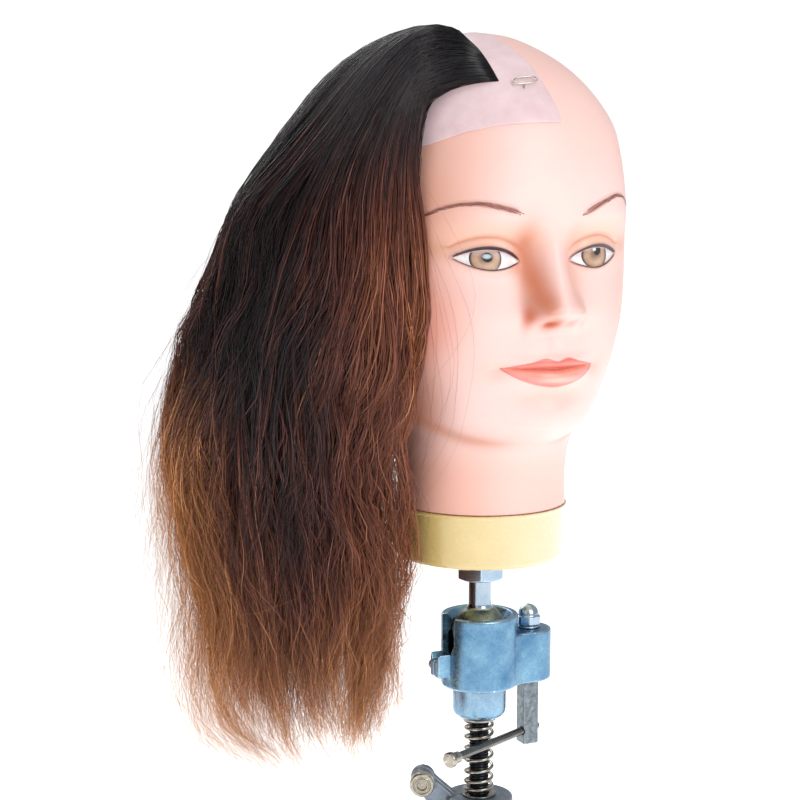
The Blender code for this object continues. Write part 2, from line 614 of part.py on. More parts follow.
def hair_hanging(u, v, is_outer):
    """The outer sheet swells sideways and gathers; the inner stays flatter."""
    drop = (v - LEAVE_V) / (1 - LEAVE_V)
    x, y, z = hair_on_head(u, LAST_ON_HEAD, is_outer)
    if is_outer:
        angle = math.radians(-50 - 100 * u)
        tip_x = -86 + 62 * math.sin(angle) * (1 - 0.2 * u)
        tip_y = 50 - 52 * math.cos(angle)
        pull = drop ** 0.8
        swell = 30 * math.sin(math.pi * min(1.0, drop / 0.85) ** 0.8)
    else:
        tip_x = -64 - 8 * math.sin(math.pi * u)
        tip_y = -22 + 96 * u
        pull = drop ** 1.8
        swell = 5 * math.sin(math.pi * min(1.0, drop * 2.0))
    tip_z = 52 + 18 * math.cos(2 * math.pi * u)
    return Vector((x + (tip_x - x) * pull - swell, y + (tip_y - y) * pull, z + (tip_z - z) * drop))


hair = bmesh.new()
sheets = []
for is_outer in (False, True):
    sheet = []
    for v in HAIR_ROWS:
        drape = hair_on_head if v < LEAVE_V else hair_hanging
        sheet.append(add_row(hair, [drape(i / (HAIR_COLUMNS - 1), v, is_outer) * MILLI
                                    for i in range(HAIR_COLUMNS)]))
    sheets.append(sheet)
for sheet in sheets:
    bridge_all(hair, sheet, closed=False)
bridge(hair, rim(sheets[0]), rim(sheets[1]))
finish("hair", hair, HAIR, sharp=70)

# ------------------------------------------------------------ wig pin
# oval wire loop lying over the parting
PIN_FOOT = Vector((-7.5, -60.2, 424.3))
PIN_UP = Vector((-0.08, -0.62, 0.78)).normalized()
PIN_LONG = Vector((0.97, -0.10, 0.02)).normalized()
PIN_SHORT = PIN_UP.cross(PIN_LONG).normalized()
PIN_LIFT = 3.2
PIN_HALF_LONG, PIN_HALF_SHORT = 6.6, 3.2
PIN_WIRE_R = 0.5

pin = bmesh.new()
rings = []
for i in range(20):
    turn = 2 * math.pi * i / 20
    long_arm, short_arm = PIN_LONG * PIN_HALF_LONG, PIN_SHORT * PIN_HALF_SHORT
    centre = (PIN_FOOT + PIN_UP * PIN_LIFT
              + long_arm * math.cos(turn) + short_arm * math.sin(turn))
    tangent = (short_arm * math.cos(turn) - long_arm * math.sin(turn)).normalized()
    side = tangent.cross(PIN_UP).normalized()
    rings.append(add_row(pin, [
        (centre + (side * math.cos(angle) + PIN_UP * math.sin(angle)) * PIN_WIRE_R) * MILLI
        for angle in [2 * math.pi * k / 6 for k in range(6)]]))
bridge_all(pin, rings + rings[:1])
finish("wig_pin", pin, STEEL)
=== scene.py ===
"""Mannequin training head: a painted head with a side-swept wig on a table clamp.

+Z is up, the face looks toward -Y, and the head's own right is -X.  The stand's
post lies on the Z axis.  Geometry is written in millimetres and MM turns it into
metres; materials, lights and the camera are in metres.  Every piece stands for
its CAD node and rides on that node's body.
"""
import json
import math
from collections import namedtuple
from functools import cached_property, lru_cache

import bpy
import bmesh
import numpy as np
from mathutils import Matrix, Vector
from mathutils.bvhtree import BVHTree

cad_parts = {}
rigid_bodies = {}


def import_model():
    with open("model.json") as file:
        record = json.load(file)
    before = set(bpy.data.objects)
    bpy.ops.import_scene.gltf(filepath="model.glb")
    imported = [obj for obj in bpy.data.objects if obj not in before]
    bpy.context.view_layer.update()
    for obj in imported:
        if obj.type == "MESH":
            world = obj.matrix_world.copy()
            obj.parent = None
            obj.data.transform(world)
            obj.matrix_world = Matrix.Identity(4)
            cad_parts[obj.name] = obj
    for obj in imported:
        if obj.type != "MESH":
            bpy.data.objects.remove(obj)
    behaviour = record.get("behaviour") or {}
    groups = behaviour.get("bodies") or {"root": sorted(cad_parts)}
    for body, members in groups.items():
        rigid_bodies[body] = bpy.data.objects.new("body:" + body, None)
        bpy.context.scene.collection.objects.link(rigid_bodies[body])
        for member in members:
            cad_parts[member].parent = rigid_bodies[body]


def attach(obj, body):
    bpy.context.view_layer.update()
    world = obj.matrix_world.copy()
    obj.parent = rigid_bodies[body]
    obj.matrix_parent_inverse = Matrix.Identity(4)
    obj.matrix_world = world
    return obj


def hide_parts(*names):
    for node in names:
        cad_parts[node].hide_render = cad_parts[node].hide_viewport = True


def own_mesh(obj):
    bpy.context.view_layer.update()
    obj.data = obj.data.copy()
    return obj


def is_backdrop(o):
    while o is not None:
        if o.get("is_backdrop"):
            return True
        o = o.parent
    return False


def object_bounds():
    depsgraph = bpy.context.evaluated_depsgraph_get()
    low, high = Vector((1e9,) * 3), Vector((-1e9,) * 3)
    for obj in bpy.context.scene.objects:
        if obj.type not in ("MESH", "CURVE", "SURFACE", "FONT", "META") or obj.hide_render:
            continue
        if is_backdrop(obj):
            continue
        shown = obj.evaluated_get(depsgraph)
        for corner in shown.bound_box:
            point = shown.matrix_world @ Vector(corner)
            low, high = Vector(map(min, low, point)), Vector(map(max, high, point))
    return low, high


for old in list(bpy.data.objects):
    bpy.data.objects.remove(old, do_unlink=True)

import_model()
CAD_LOW, CAD_HIGH = (list(corner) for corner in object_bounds())

MM = 0.001
SCENE = bpy.context.scene


# ---- Colours and materials
def rgb(*channels):
    """sRGB 0..255 to linear."""
    shares = [c / 255.0 for c in channels]
    return tuple(c / 12.92 if c <= 0.04045 else ((c + 0.055) / 1.055) ** 2.4 for c in shares)


class Material:
    """Wires nodes into a Principled material."""

    def __init__(self, name):
        self.data = bpy.data.materials.new(name)
        self.data.use_nodes = True
        self.nodes = self.data.node_tree.nodes
        self.shader = self.nodes["Principled BSDF"]

    @cached_property
    def coords(self):
        return self.node("TexCoord").outputs["Object"]

    def feed(self, node, inputs):
        """Sets or links inputs, keyed by index or by name with _ for spaces."""
        for key, value in inputs.items():
            socket = node.inputs[key if isinstance(key, int) else key.replace("_", " ")]
            if isinstance(value, tuple):
                opaque = len(value) == 3 and socket.type == "RGBA"
                socket.default_value = (*value, 1.0) if opaque else value
            elif isinstance(value, (int, float)):
                socket.default_value = value
            else:
                self.data.node_tree.links.new(value, socket)

    def node(self, kind, inputs=None, **settings):
        node = self.nodes.new("ShaderNode" + kind)
        for key, value in settings.items():
            setattr(node, key, value)
        self.feed(node, inputs or {})
        return node

    def set(self, **inputs):
        self.feed(self.shader, inputs)

    def noise(self, scale, detail=4, rough=0.55, stretch=None):
        where = self.coords
        if stretch:
            where = self.node("Mapping", {"Scale": stretch, "Vector": where}).outputs["Vector"]
        return self.node("TexNoise", {"Scale": scale, "Detail": detail, "Roughness": rough,
                                      "Distortion": 0.0, "Vector": where}).outputs["Fac"]

    def ramp(self, value, stops):
        node = self.node("ValToRGB", {"Fac": value})
        elements = node.color_ramp.elements
        while len(elements) < len(stops):
            elements.new(0.5)
        for element, (position, colour) in zip(elements, stops):
            element.position = position
            element.color = (*colour, 1.0)
        return node.outputs["Color"]

    def mottle(self, light, dark, scale, detail=4, rough=0.55):
        """Slow tone changes between two colours."""
        return self.ramp(self.noise(scale, detail, rough), [(0.3, dark), (0.7, light)])

    def span(self, value, source, target=(0.0, 1.0)):
        """Maps the source range onto the target range."""
        return self.node("MapRange", {
            "From_Min": source[0], "From_Max": source[1],
            "To_Min": target[0], "To_Max": target[1], "Value": value}).outputs["Result"]

    def mix(self, factor, first, second):
        return self.node("Mix", {0: factor, 6: first, 7: second}, data_type="RGBA").outputs[2]

    def math(self, operation, first, second=0.0):
        return self.node("Math", {0: first, 1: second}, operation=operation).outputs[0]

    def axis(self, letter):
        return self.node("SeparateXYZ", {"Vector": self.coords}).outputs[letter]

    def bump(self, height, strength, distance):
        node = self.node("Bump", {"Strength": strength, "Distance": distance, "Height": height})
        self.set(Normal=node.outputs["Normal"])


def metal(name, light, dark, rough, grain, relief, blotch, metallic=1.0, rough_var=0.10,
          edge=None, hollow_colour=None):
    """Mottled metal with a fine grain, and optional worn edges and darker hollows.

    grain and blotch are noise scales; relief is the depth of the grain.
    """
    mat = Material(name)
    dark = rgb(*dark)
    colour = mat.mottle(rgb(*light), dark, scale=blotch, detail=5, rough=0.6)
    fine = mat.noise(grain, detail=3, rough=0.6)
    colour = mat.mix(mat.span(fine, (0.35, 0.75), (0.0, 0.35)), colour,
                     tuple(0.55 * c for c in dark))
    point = mat.node("NewGeometry").outputs["Pointiness"]
    if edge:
        colour = mat.mix(mat.span(point, (0.505, 0.56), (0.0, 0.8)), colour, rgb(*edge))
    # darker in the hollows
    if hollow_colour:
        colour = mat.mix(mat.span(point, (0.495, 0.43), (0.0, 0.85)), colour, rgb(*hollow_colour))
    roughness = mat.span(mat.noise(grain * 0.35, detail=3), (0.3, 0.7),
                         (max(0.04, rough - rough_var), rough + rough_var))
    mat.set(Base_Color=colour, Metallic=metallic, Roughness=roughness)
    mat.bump(fine, strength=0.5, distance=relief)
    return mat.data


ZINC = metal("blue_zinc", (144, 188, 214), (72, 120, 162), rough=0.30, metallic=0.92,
             grain=1500, relief=5e-5, blotch=55, edge=(222, 232, 240), hollow_colour=(70, 84, 96))
ZINC_BAR = metal("grey_zinc", (158, 168, 174), (92, 104, 112), rough=0.42, metallic=0.85,
                 grain=700, relief=9e-5, blotch=420, edge=(190, 198, 204), hollow_colour=(60, 68, 74))
CHROME = metal("chrome", (206, 222, 236), (160, 186, 208), rough=0.20, rough_var=0.04,
               grain=2500, relief=1e-5, blotch=60, edge=(240, 244, 248))
BALL = metal("ball_steel", (146, 160, 156), (92, 106, 102), rough=0.30, metallic=0.9,
             grain=1800, relief=3e-5, blotch=110, hollow_colour=(52, 60, 60))
STEEL = metal("bright_steel", (188, 186, 180), (136, 134, 128), rough=0.22,
              grain=1600, relief=3e-5, blotch=160, hollow_colour=(70, 62, 52))
NICKEL = metal("worn_nickel", (196, 190, 178), (140, 132, 118), rough=0.28,
               grain=1300, relief=5e-5, blotch=260, edge=(222, 218, 208), hollow_colour=(86, 66, 46))
SPRING = metal("spring_wire", (206, 204, 196), (120, 112, 98), rough=0.20,
               grain=2200, relief=2e-5, blotch=330, hollow_colour=(60, 48, 36))
DARK = metal("oiled_steel", (70, 72, 78), (28, 29, 33), rough=0.32,
             grain=1200, relief=4e-5, blotch=200, hollow_colour=(18, 18, 20))
BAR_STEEL = metal("tommy_steel", (112, 114, 116), (58, 60, 64), rough=0.26,
                  grain=1400, relief=4e-5, blotch=240, edge=(170, 168, 160), hollow_colour=(40, 36, 32))
CAST = metal("cast_grey", (146, 156, 168), (104, 114, 128), rough=0.46, metallic=0.72,
             grain=520, relief=16e-5, blotch=120, edge=(178, 186, 196), hollow_colour=(60, 64, 72))
BRASS = metal("brass", (206, 170, 92), (158, 120, 56), rough=0.28,
              grain=1500, relief=3e-5, blotch=140, hollow_colour=(80, 56, 24))


def plastic(name, light, dark, rough, grain, relief, scatter=0.0):
    mat = Material(name)
    colour = mat.mottle(rgb(*light), rgb(*dark), scale=50)
    fine = mat.noise(grain, detail=3)
    mat.set(Base_Color=colour, Coat_Weight=0.0, Coat_Roughness=0.08,
            Roughness=mat.span(fine, (0.3, 0.7), (max(0.05, rough - 0.06), rough + 0.06)))
    if scatter:
        mat.set(Subsurface_Weight=scatter, Subsurface_Radius=(0.004, 0.003, 0.002))
    mat.bump(fine, strength=0.35, distance=relief)
    return mat.data


RUBBER = plastic("black_rubber", (46, 46, 48), (26, 26, 28), rough=0.72, grain=380, relief=25e-5)
NYLON = plastic("nylon", (226, 222, 208), (206, 200, 184), rough=0.42, grain=700, relief=5e-5,
                scatter=0.1)


def cap_material():
    """Butter-coloured plastic: painted light makes it paler toward +X, and painted shade browns its
    lip and deepens its foot.
    """
    mat = Material("butter_plastic")
    colour = mat.mottle(rgb(230, 206, 138), rgb(218, 190, 118), scale=38)
    # painted light: paler toward +X, the side the key light falls on
    colour = mat.mix(mat.span(mat.axis("X"), (-0.034, 0.040)), colour, rgb(240, 228, 200))
    height = mat.axis("Z")
    # painted shade: a brown line on the lip where the skin meets the cap
    lip = mat.math("MULTIPLY", mat.span(height, (0.2034, 0.2039)),
                   mat.span(mat.noise(260, detail=3), (0.25, 0.55), (0.55, 1.0)))
    colour = mat.mix(lip, colour, rgb(168, 96, 44))
    # painted shade: deeper toward the foot
    foot = mat.math("MULTIPLY", mat.span(height, (0.1768, 0.1746)), 0.35)
    colour = mat.mix(foot, colour, rgb(196, 172, 92))
    mat.set(Base_Color=colour,
            Roughness=mat.span(mat.noise(620, detail=3), (0.3, 0.7), (0.20, 0.30)),
            Coat_Weight=0.9, Coat_Roughness=0.12, Specular_IOR_Level=0.65,
            Subsurface_Weight=0.12, Subsurface_Radius=(0.004, 0.003, 0.0015))
    mat.bump(mat.noise(120, detail=3), strength=0.25, distance=1e-4)
    return mat.data


CAP = cap_material()


def skin_material(name, rough, scatter=0.0, coat=0.10, specular=0.45):
    """Soft PVC; its colour comes from the mesh's own colour attribute."""
    mat = Material(name)
    painted = mat.node("Attribute", attribute_name="col").outputs["Color"]
    speck = mat.noise(420, detail=4, rough=0.6)
    colour = mat.mix(mat.span(speck, (0.30, 0.75), (0.0, 0.07)), painted, rgb(236, 176, 150))
    fine = mat.noise(1500, detail=3)
    mat.set(Base_Color=colour,
            Roughness=mat.span(fine, (0.3, 0.7), (rough - 0.04, rough + 0.04)),
            Specular_IOR_Level=specular, Coat_Weight=coat, Coat_Roughness=0.25,
            Subsurface_Weight=scatter, Subsurface_Radius=(0.006, 0.0025, 0.0012))
    mat.bump(fine, strength=0.18, distance=4e-5)
    return mat.data


SKIN = skin_material("soft_pvc_skin", rough=0.40, scatter=0.16)
PAINT = skin_material("face_paint", rough=0.34, coat=0.15)
EYE = skin_material("eye_enamel", rough=0.14, coat=0.5, specular=0.5)
LIP = skin_material("lip_paint", rough=0.24, coat=0.35)


def film_material():
    """Thin film with a faint net worked into it."""
    mat = Material("scalp_film")
    colour = mat.mottle(rgb(235, 210, 213), rgb(225, 196, 200), scale=120)
    cells = mat.node("TexVoronoi", {"Scale": 900, "Vector": mat.coords},
                     feature="DISTANCE_TO_EDGE")
    net = mat.span(cells.outputs["Distance"], (0.0, 0.12), (1.0, 0.0))
    colour = mat.mix(mat.math("MULTIPLY", net, 0.16), colour, rgb(222, 182, 190))
    mat.set(Base_Color=colour, Roughness=0.36, Coat_Weight=0.2, Coat_Roughness=0.2,
            Subsurface_Weight=0.25, Subsurface_Radius=(0.003, 0.0016, 0.0012))
    mat.bump(net, strength=0.3, distance=6e-5)
    return mat.data


FILM = film_material()

HAIR_TONES = 32     # UV columns, each with its own tone


def hair_material():
    """Across the UV: each lock's own tone. Up the UV: dark to bleached."""
    mat = Material("hair_strand")
    uv_map = mat.node("UVMap", uv_map="OFBake").outputs["UV"]
    parts = mat.node("SeparateXYZ", {"Vector": uv_map}).outputs
    # near-black at the roots; the blue cast of the darkest tones is a painted sheen
    colour = mat.ramp(parts["Y"], [
        (0.00, rgb(8, 7, 15)), (0.12, rgb(21, 14, 21)), (0.34, rgb(62, 30, 27)),
        (0.54, rgb(114, 56, 42)), (0.75, rgb(162, 94, 50)), (1.00, rgb(222, 154, 86))])
    column = mat.math("FLOOR", mat.math("MULTIPLY", parts["X"], float(HAIR_TONES)))
    tone = mat.node("TexWhiteNoise", {"W": column}, noise_dimensions="1D").outputs["Value"]
    varied = mat.node("HueSaturation", {
        "Value": mat.span(mat.math("POWER", tone, 2.2), (0.0, 1.0), (0.55, 2.1)),
        "Saturation": mat.span(tone, (0.0, 1.0), (1.08, 0.86)),
        "Color": colour})
    mat.set(Base_Color=varied.outputs["Color"], Roughness=0.31, Specular_IOR_Level=0.50)
    return mat.data


HAIR = hair_material()


def underlay_material():
    """Dark streaked mass seen between the strands: the inner hair, darkened as painted shade."""
    mat = Material("hair_depth")
    height = mat.span(mat.axis("Z"), (0.10, 0.36))
    streak = mat.noise(260, detail=4, rough=0.6, stretch=(1.0, 1.0, 0.06))
    base = mat.ramp(height, [(0.0, rgb(58, 32, 22)), (0.5, rgb(28, 17, 16)),
                             (1.0, rgb(12, 9, 13))])
    colour = mat.mix(mat.span(streak, (0.40, 0.62), (0.0, 0.75)), base, rgb(8, 6, 8))
    mat.set(Base_Color=colour, Roughness=0.62, Specular_IOR_Level=0.25)
    mat.bump(streak, strength=0.8, distance=0.0012)
    return mat.data


UNDERLAY = underlay_material()


# ---- Mesh helpers
def link_object(name, mesh, material=None):
    obj = bpy.data.objects.new(name, mesh)
    SCENE.collection.objects.link(obj)
    if material:
        mesh.materials.append(material)
    return obj


def new_object(name, shape, material=None, place=None, sharp=40):
    """Makes an object of a bmesh; edges above `sharp` degrees stay crisp."""
    bmesh.ops.recalc_face_normals(shape, faces=shape.faces)
    mesh = bpy.data.meshes.new(name)
    shape.to_mesh(mesh)
    shape.free()
    if place is not None:
        mesh.transform(place)
        if place.determinant() < 0:
            mesh.flip_normals()
    mesh.shade_smooth()
    mesh.set_sharp_from_angle(angle=math.radians(sharp))
    return link_object(name, mesh, material)


def mount(obj, body, slot, *nodes):
    """Puts a piece on the body it rides on and hides the CAD nodes it stands for; `slot` is not
    used.
    """
    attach(obj, body)
    if nodes:
        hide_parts(*nodes)


def at(x, y, z, towards=None):
    """Moves to a point and, if asked, turns Z toward a direction."""
    place = Matrix.Translation(Vector((x, y, z)) * MM)
    if towards is None:
        return place
    return place @ Vector(towards).to_track_quat("Z", "Y").to_matrix().to_4x4()


def round_profile(points, radius, closed):
    """Rounds every corner of an (r, z) outline that isn't on the axis."""
    count, segments = len(points), 4
    rounded = []
    for i, point in enumerate(points):
        corner = Vector(point)
        back = Vector(points[i - 1]) - corner
        ahead = Vector(points[(i + 1) % count]) - corner
        if ((not closed and i in (0, count - 1)) or point[0] <= 1e-6
                or back.length < 1e-6 or ahead.length < 1e-6
                or back.angle(ahead) > math.radians(162)):
            rounded.append(point)
            continue
        reach = min(radius / math.tan(back.angle(ahead) / 2),
                    0.42 * back.length, 0.42 * ahead.length)
        start = corner + back.normalized() * reach
        end = corner + ahead.normalized() * reach
        for k in range(segments + 1):
            t = k / segments
            rounded.append(tuple(start * (1 - t) ** 2 + corner * 2 * t * (1 - t) + end * t * t))
    return rounded


def turned(name, profile, material=None, steps=96, place=None, ring=False, rnd=0.35):
    """Spins an (r, z) profile round Z; `ring` closes it, `rnd` is its corner radius."""
    if rnd:
        profile = round_profile(profile, rnd, ring)
    shape = bmesh.new()
    verts = [shape.verts.new((r * MM, 0, z * MM)) for r, z in profile]
    edges = [shape.edges.new(pair) for pair in zip(verts, verts[1:])]
    if ring:
        edges.append(shape.edges.new((verts[-1], verts[0])))
    bmesh.ops.spin(shape, geom=verts + edges, cent=(0, 0, 0), axis=(0, 0, 1), dvec=(0, 0, 0),
                   angle=2 * math.pi, steps=steps, use_merge=True, use_duplicate=False)
    bmesh.ops.remove_doubles(shape, verts=shape.verts, dist=1e-7)
    return new_object(name, shape, material, place)


def drum(name, radius, bottom, top, material=None, steps=72, place=None):
    profile = [(0, bottom), (radius, bottom), (radius, top), (0, top)]
    return turned(name, profile, material, steps, place, rnd=0)


def prism(name, outline, bottom, top, material=None, place=None, bevel=0.0, segments=3):
    shape = bmesh.new()
    face = shape.faces.new([shape.verts.new((x * MM, y * MM, bottom * MM)) for x, y in outline])
    raised = bmesh.ops.extrude_face_region(shape, geom=[face])["geom"]
    bmesh.ops.translate(shape, vec=(0, 0, (top - bottom) * MM),
                        verts=[v for v in raised if isinstance(v, bmesh.types.BMVert)])
    bmesh.ops.recalc_face_normals(shape, faces=shape.faces)
    if bevel:
        bmesh.ops.bevel(shape, geom=list(shape.edges), offset=bevel * MM, segments=segments,
                        affect="EDGES", profile=0.5)
    return new_object(name, shape, material, place)


def block(name, x_span, y_span, z_span, material=None, bevel=0.0, place=None):
    (x0, x1), (y0, y1) = x_span, y_span
    return prism(name, [(x0, y0), (x1, y0), (x1, y1), (x0, y1)], *z_span, material, place, bevel)


def hexagon(across_flats, phase=0.0):
    radius = across_flats / 2 / math.cos(math.pi / 6)
    angles = [phase + 2 * math.pi * k / 6 for k in range(6)]
    return [(radius * math.cos(a), radius * math.sin(a)) for a in angles]


def bake(obj):
    """Replaces an object's mesh with its evaluated one."""
    bpy.context.view_layer.update()
    graph = bpy.context.evaluated_depsgraph_get()
    mesh = bpy.data.meshes.new_from_object(obj.evaluated_get(graph))
    old_mesh = obj.data
    materials = list(old_mesh.materials)
    obj.modifiers.clear()
    obj.data = mesh
    if not mesh.materials:
        for material in materials:
            mesh.materials.append(material)
    bpy.data.meshes.remove(old_mesh)


ADD, CUT, KEEP = "UNION", "DIFFERENCE", "INTERSECT"


def combine(obj, *steps):
    """Applies (operation, tool) Booleans at once and throws the tools away."""
    for operation, tool in steps:
        modifier = obj.modifiers.new("boolean", "BOOLEAN")
        modifier.operation = operation
        modifier.solver = "EXACT"
        modifier.object = tool
    bake(obj)
    for _, tool in steps:
        bpy.data.objects.remove(tool, do_unlink=True)


def soften(obj, voxel, passes):
    """Voxel remesh and relax: the rounded corners and fillets of a casting."""
    remesh = obj.modifiers.new("voxels", "REMESH")
    remesh.mode = "VOXEL"
    remesh.voxel_size = voxel * MM
    remesh.use_smooth_shade = True
    relax = obj.modifiers.new("relax", "SMOOTH")
    relax.factor = 0.5
    relax.iterations = passes
    bake(obj)
    obj.data.shade_smooth()


def tube(name, rings, material, place=None, sharp=80, closed=False):
    """Skins rings of points, in metres; ends are capped unless the tube is closed."""
    shape = bmesh.new()
    rings = [[shape.verts.new(p) for p in ring] for ring in rings]
    around = len(rings[0])
    for this, following in zip(rings, rings[1:] + (rings[:1] if closed else [])):
        for j in range(around):
            k = (j + 1) % around
            shape.faces.new((this[j], this[k], following[k], following[j]))
    if not closed:
        shape.faces.new(rings[0][::-1])
        shape.faces.new(rings[-1])
    return new_object(name, shape, material, place, sharp)


def threaded(name, radius, depth, pitch, bottom, top, material, place=None,
             per_pitch=8, lead=1.2):
    """Rod with a helical thread that fades out over `lead` at both ends."""
    around = 48
    rows = int((top - bottom) / pitch * per_pitch)
    rings = []
    for i in range(rows + 1):
        z = bottom + (top - bottom) * i / rows
        full = max(0, min(1, (z - bottom) / lead, (top - z) / lead))
        ring = []
        for j in range(around):
            angle = 2 * math.pi * j / around
            wave = abs(2 * ((z / pitch - j / around) % 1.0) - 1)
            groove = 1 - min(1, max(0, (wave - 0.08) / 0.80))
            r = radius - depth * groove * full - 0.5 * depth * (1 - full)
            ring.append((r * math.cos(angle) * MM, r * math.sin(angle) * MM, z * MM))
        rings.append(ring)
    return tube(name, rings, material, place, sharp=50)


def coil(name, radius, wire_radius, bottom, top, turns, material):
    """Spring with closer, flattened end turns."""
    per_turn, around = 56, 14
    count = int(turns * per_turn)
    rings = []
    for i in range(count + 1):
        t = i / count
        angle = 2 * math.pi * turns * t
        eased = 0.5 - 0.5 * math.cos(math.pi * min(1, max(0, (t - 0.02) / 0.96)))
        z = bottom + (top - bottom) * (0.55 * t + 0.45 * eased)
        outward = Vector((math.cos(angle), math.sin(angle), 0))
        flat = min(1.0, 0.35 + 10 * min(t, 1 - t))
        ring = []
        for j in range(around):
            turn = 2 * math.pi * j / around
            rise = Vector((0, 0, z + wire_radius * flat * math.sin(turn)))
            ring.append((outward * (radius + wire_radius * math.cos(turn)) + rise) * MM)
        rings.append(ring)
    return tube(name, rings, material)


def ball_arc(radius, degrees):
    """(r, z) points on a sphere, angles counted from its bottom pole."""
    return [(radius * math.sin(math.radians(a)), -radius * math.cos(math.radians(a)))
            for a in degrees]


# ---- Sizes of the stand
HUB_TOP, HUB_R, POST_R = 38.0, 18.8, 5.5
COLLAR_BOT, COLLAR_TOP, COLLAR_R = 83.0, 101.2, 14.65
HOUSE_BOT, HOUSE_TOP, HOUSE_R = 101.5, 141.0, 21.0
BALL_Z, BALL_R, STUD_R = 131.0, 15.0, 6.25
LUG_X, LUG_R, LUG_BOT, LUG_TOP = 30.0, 12.5, 101.0, 130.0
TOMMY_Z, TOMMY_ANGLE = 71.5, math.radians(26.0)
NUT_BOT, NUT_TOP = 160.4, 174.0
CAP_BOT, CAP_TOP, CAP_R = 174.4, 203.9, 46.2
GAP = 0.3                               # clearance over the hub and the lug
ARM_BOT, ARM_TOP = -96, -82             # lower arm of the clamp
HANDLE_Z = -175

SCREW_AXIS = at(0, -14.0, 0)
HANDLE = at(0, -14.0, HANDLE_Z, (1, 0, 0))
WEB_DIR = Vector((-0.891, 0.454, 0.0))      # the split web points out from the hub
LOCK_DIR = Vector((-0.454, -0.891, 0.0))    # the lock screw crosses it
LOCK = at(-27.6, 14.07, 46.0, LOCK_DIR)
LUG = at(LUG_X, 0, 0)
TOMMY = at(LUG_X, 0, TOMMY_Z, (-math.cos(TOMMY_ANGLE), -math.sin(TOMMY_ANGLE), 0))
PLUNGER = at(0, 0, 125, (1, 0, 0))
EAR_SCREW = at(-23.9, 0, 113, (0, 1, 0))

# Outline axes and depth laid on world axes.
OUTLINE_YZ = Matrix(((0, 0, 1, 0), (1, 0, 0, 0), (0, 1, 0, 0), (0, 0, 0, 1)))
OUTLINE_YZ_BACK = Matrix(((0, 0, -1, 0), (1, 0, 0, 0), (0, 1, 0, 0), (0, 0, 0, 1)))
OUTLINE_WEB = Matrix(((WEB_DIR.x, 0, LOCK_DIR.x, 0), (WEB_DIR.y, 0, LOCK_DIR.y, 0),
                      (0, 1, 0, 0), (0, 0, 0, 1)))

# ---- Table clamp
CLAMP_SIDE = [      # (y, z) of the C frame
    (-44, 3.3), (22, 3.3), (24, 1.3), (24, -80), (22, ARM_TOP), (-28, ARM_TOP), (-28, ARM_BOT),
    (30, ARM_BOT), (36, -90), (36, 8), (31, 13), (-36, 13), (-44, 8)]
WEB_SIDE = [(8, 24), (17, 16), (31.5, 39.4), (31, 52.6), (26, 49), (12, 37)]    # (out, z)

clamp = prism("clamp_casting", CLAMP_SIDE, -11, 11, CAST, OUTLINE_YZ)
combine(
    clamp,
    (ADD, block("jaw", (-20, 20), (-44, 20), (3.3, 10.0), bevel=1.6)),
    (ADD, turned("hub", [(0, 4), (HUB_R, 4), (HUB_R, HUB_TOP), (0, HUB_TOP)], steps=120,
                 rnd=1.3)),
    (ADD, drum("screw boss", 13.0, ARM_BOT, ARM_TOP, place=SCREW_AXIS)),
    (ADD, prism("web", WEB_SIDE, -5.5, 5.5, place=OUTLINE_WEB)),
    (ADD, drum("lock boss", 6.75, -6, 6, place=LOCK)),
    (CUT, drum("post bore", POST_R + 0.5, 4.6, 60)),
    (CUT, prism("web split", [(0, 14), (44, 14), (44, 60), (0, 60)], -0.7, 0.7,
                place=OUTLINE_WEB)),
    (CUT, drum("lock bore", 2.3, -14, 9, steps=40, place=LOCK)),
    (CUT, drum("bush bore", 7.3, -100, -76, steps=48, place=SCREW_AXIS)))
soften(clamp, voxel=0.62, passes=5)
mount(clamp, "clamp", "cast", "clamp_frame")

pad = block("jaw_pad_ribbed", (-19, 19), (-43, 19), (0.0, 3.0), RUBBER, bevel=0.6)
combine(pad, *[(CUT, block("groove", (-30, 30), (y, y + 1.6), (-0.2, 0.7)))
               for y in np.arange(-38, 16, 5.2)])
mount(pad, "clamp", "rubber", "jaw_pad")
mount(turned("clamp_bush_turned", [
    (5.3, -97), (7.0, -97), (7.0, -81.7), (9.5, -81.7), (9.5, -79), (5.3, -79)],
    BRASS, 72, SCREW_AXIS, ring=True), "clamp", "brass", "clamp_bush")

mount(turned("lock_screw_turned", [
    (0, -12.6), (1.9, -12.6), (1.9, 6.3), (6.75, 6.3), (6.75, 10.4), (6.2, 11.0), (5.0, 11.0),
    (4.7, 10.5), (3.9, 10.5), (3.6, 10.9), (3.0, 10.9), (2.6, 9.9), (0, 9.9)],
    NICKEL, 96, LOCK, rnd=0.25), "lock", "steel", "lock_screw")
lock_nut = prism("lock_nut_hex", hexagon(7.5), -9.9, -6.3, STEEL, LOCK, bevel=0.3, segments=2)
combine(lock_nut, (CUT, drum("bore", 2.15, -14, 9, steps=40, place=LOCK)))
mount(lock_nut, "clamp", "steel", "lock_nut")

mount(turned("swivel_pad_turned", [
    (0, -40), (15, -40), (15, -43.5), (13.5, -45), (7.6, -45), (7.6, -50), (3.6, -50),
    (3.6, -42.6), (0, -42.6)], CAST, 96, SCREW_AXIS, rnd=0.5), "clamp_foot", "cast", "swivel_pad")
mount(turned("pad_cap_moulded", [
    (0, -39.7), (15.4, -39.7), (15.4, -37.7), (9.2, -37.7), (9.0, -38.2), (8.4, -38.2),
    (8.2, -37.7), (0, -37.7)], RUBBER, 96, SCREW_AXIS, rnd=0.3), "clamp_foot", "rubber", "pad_cap")

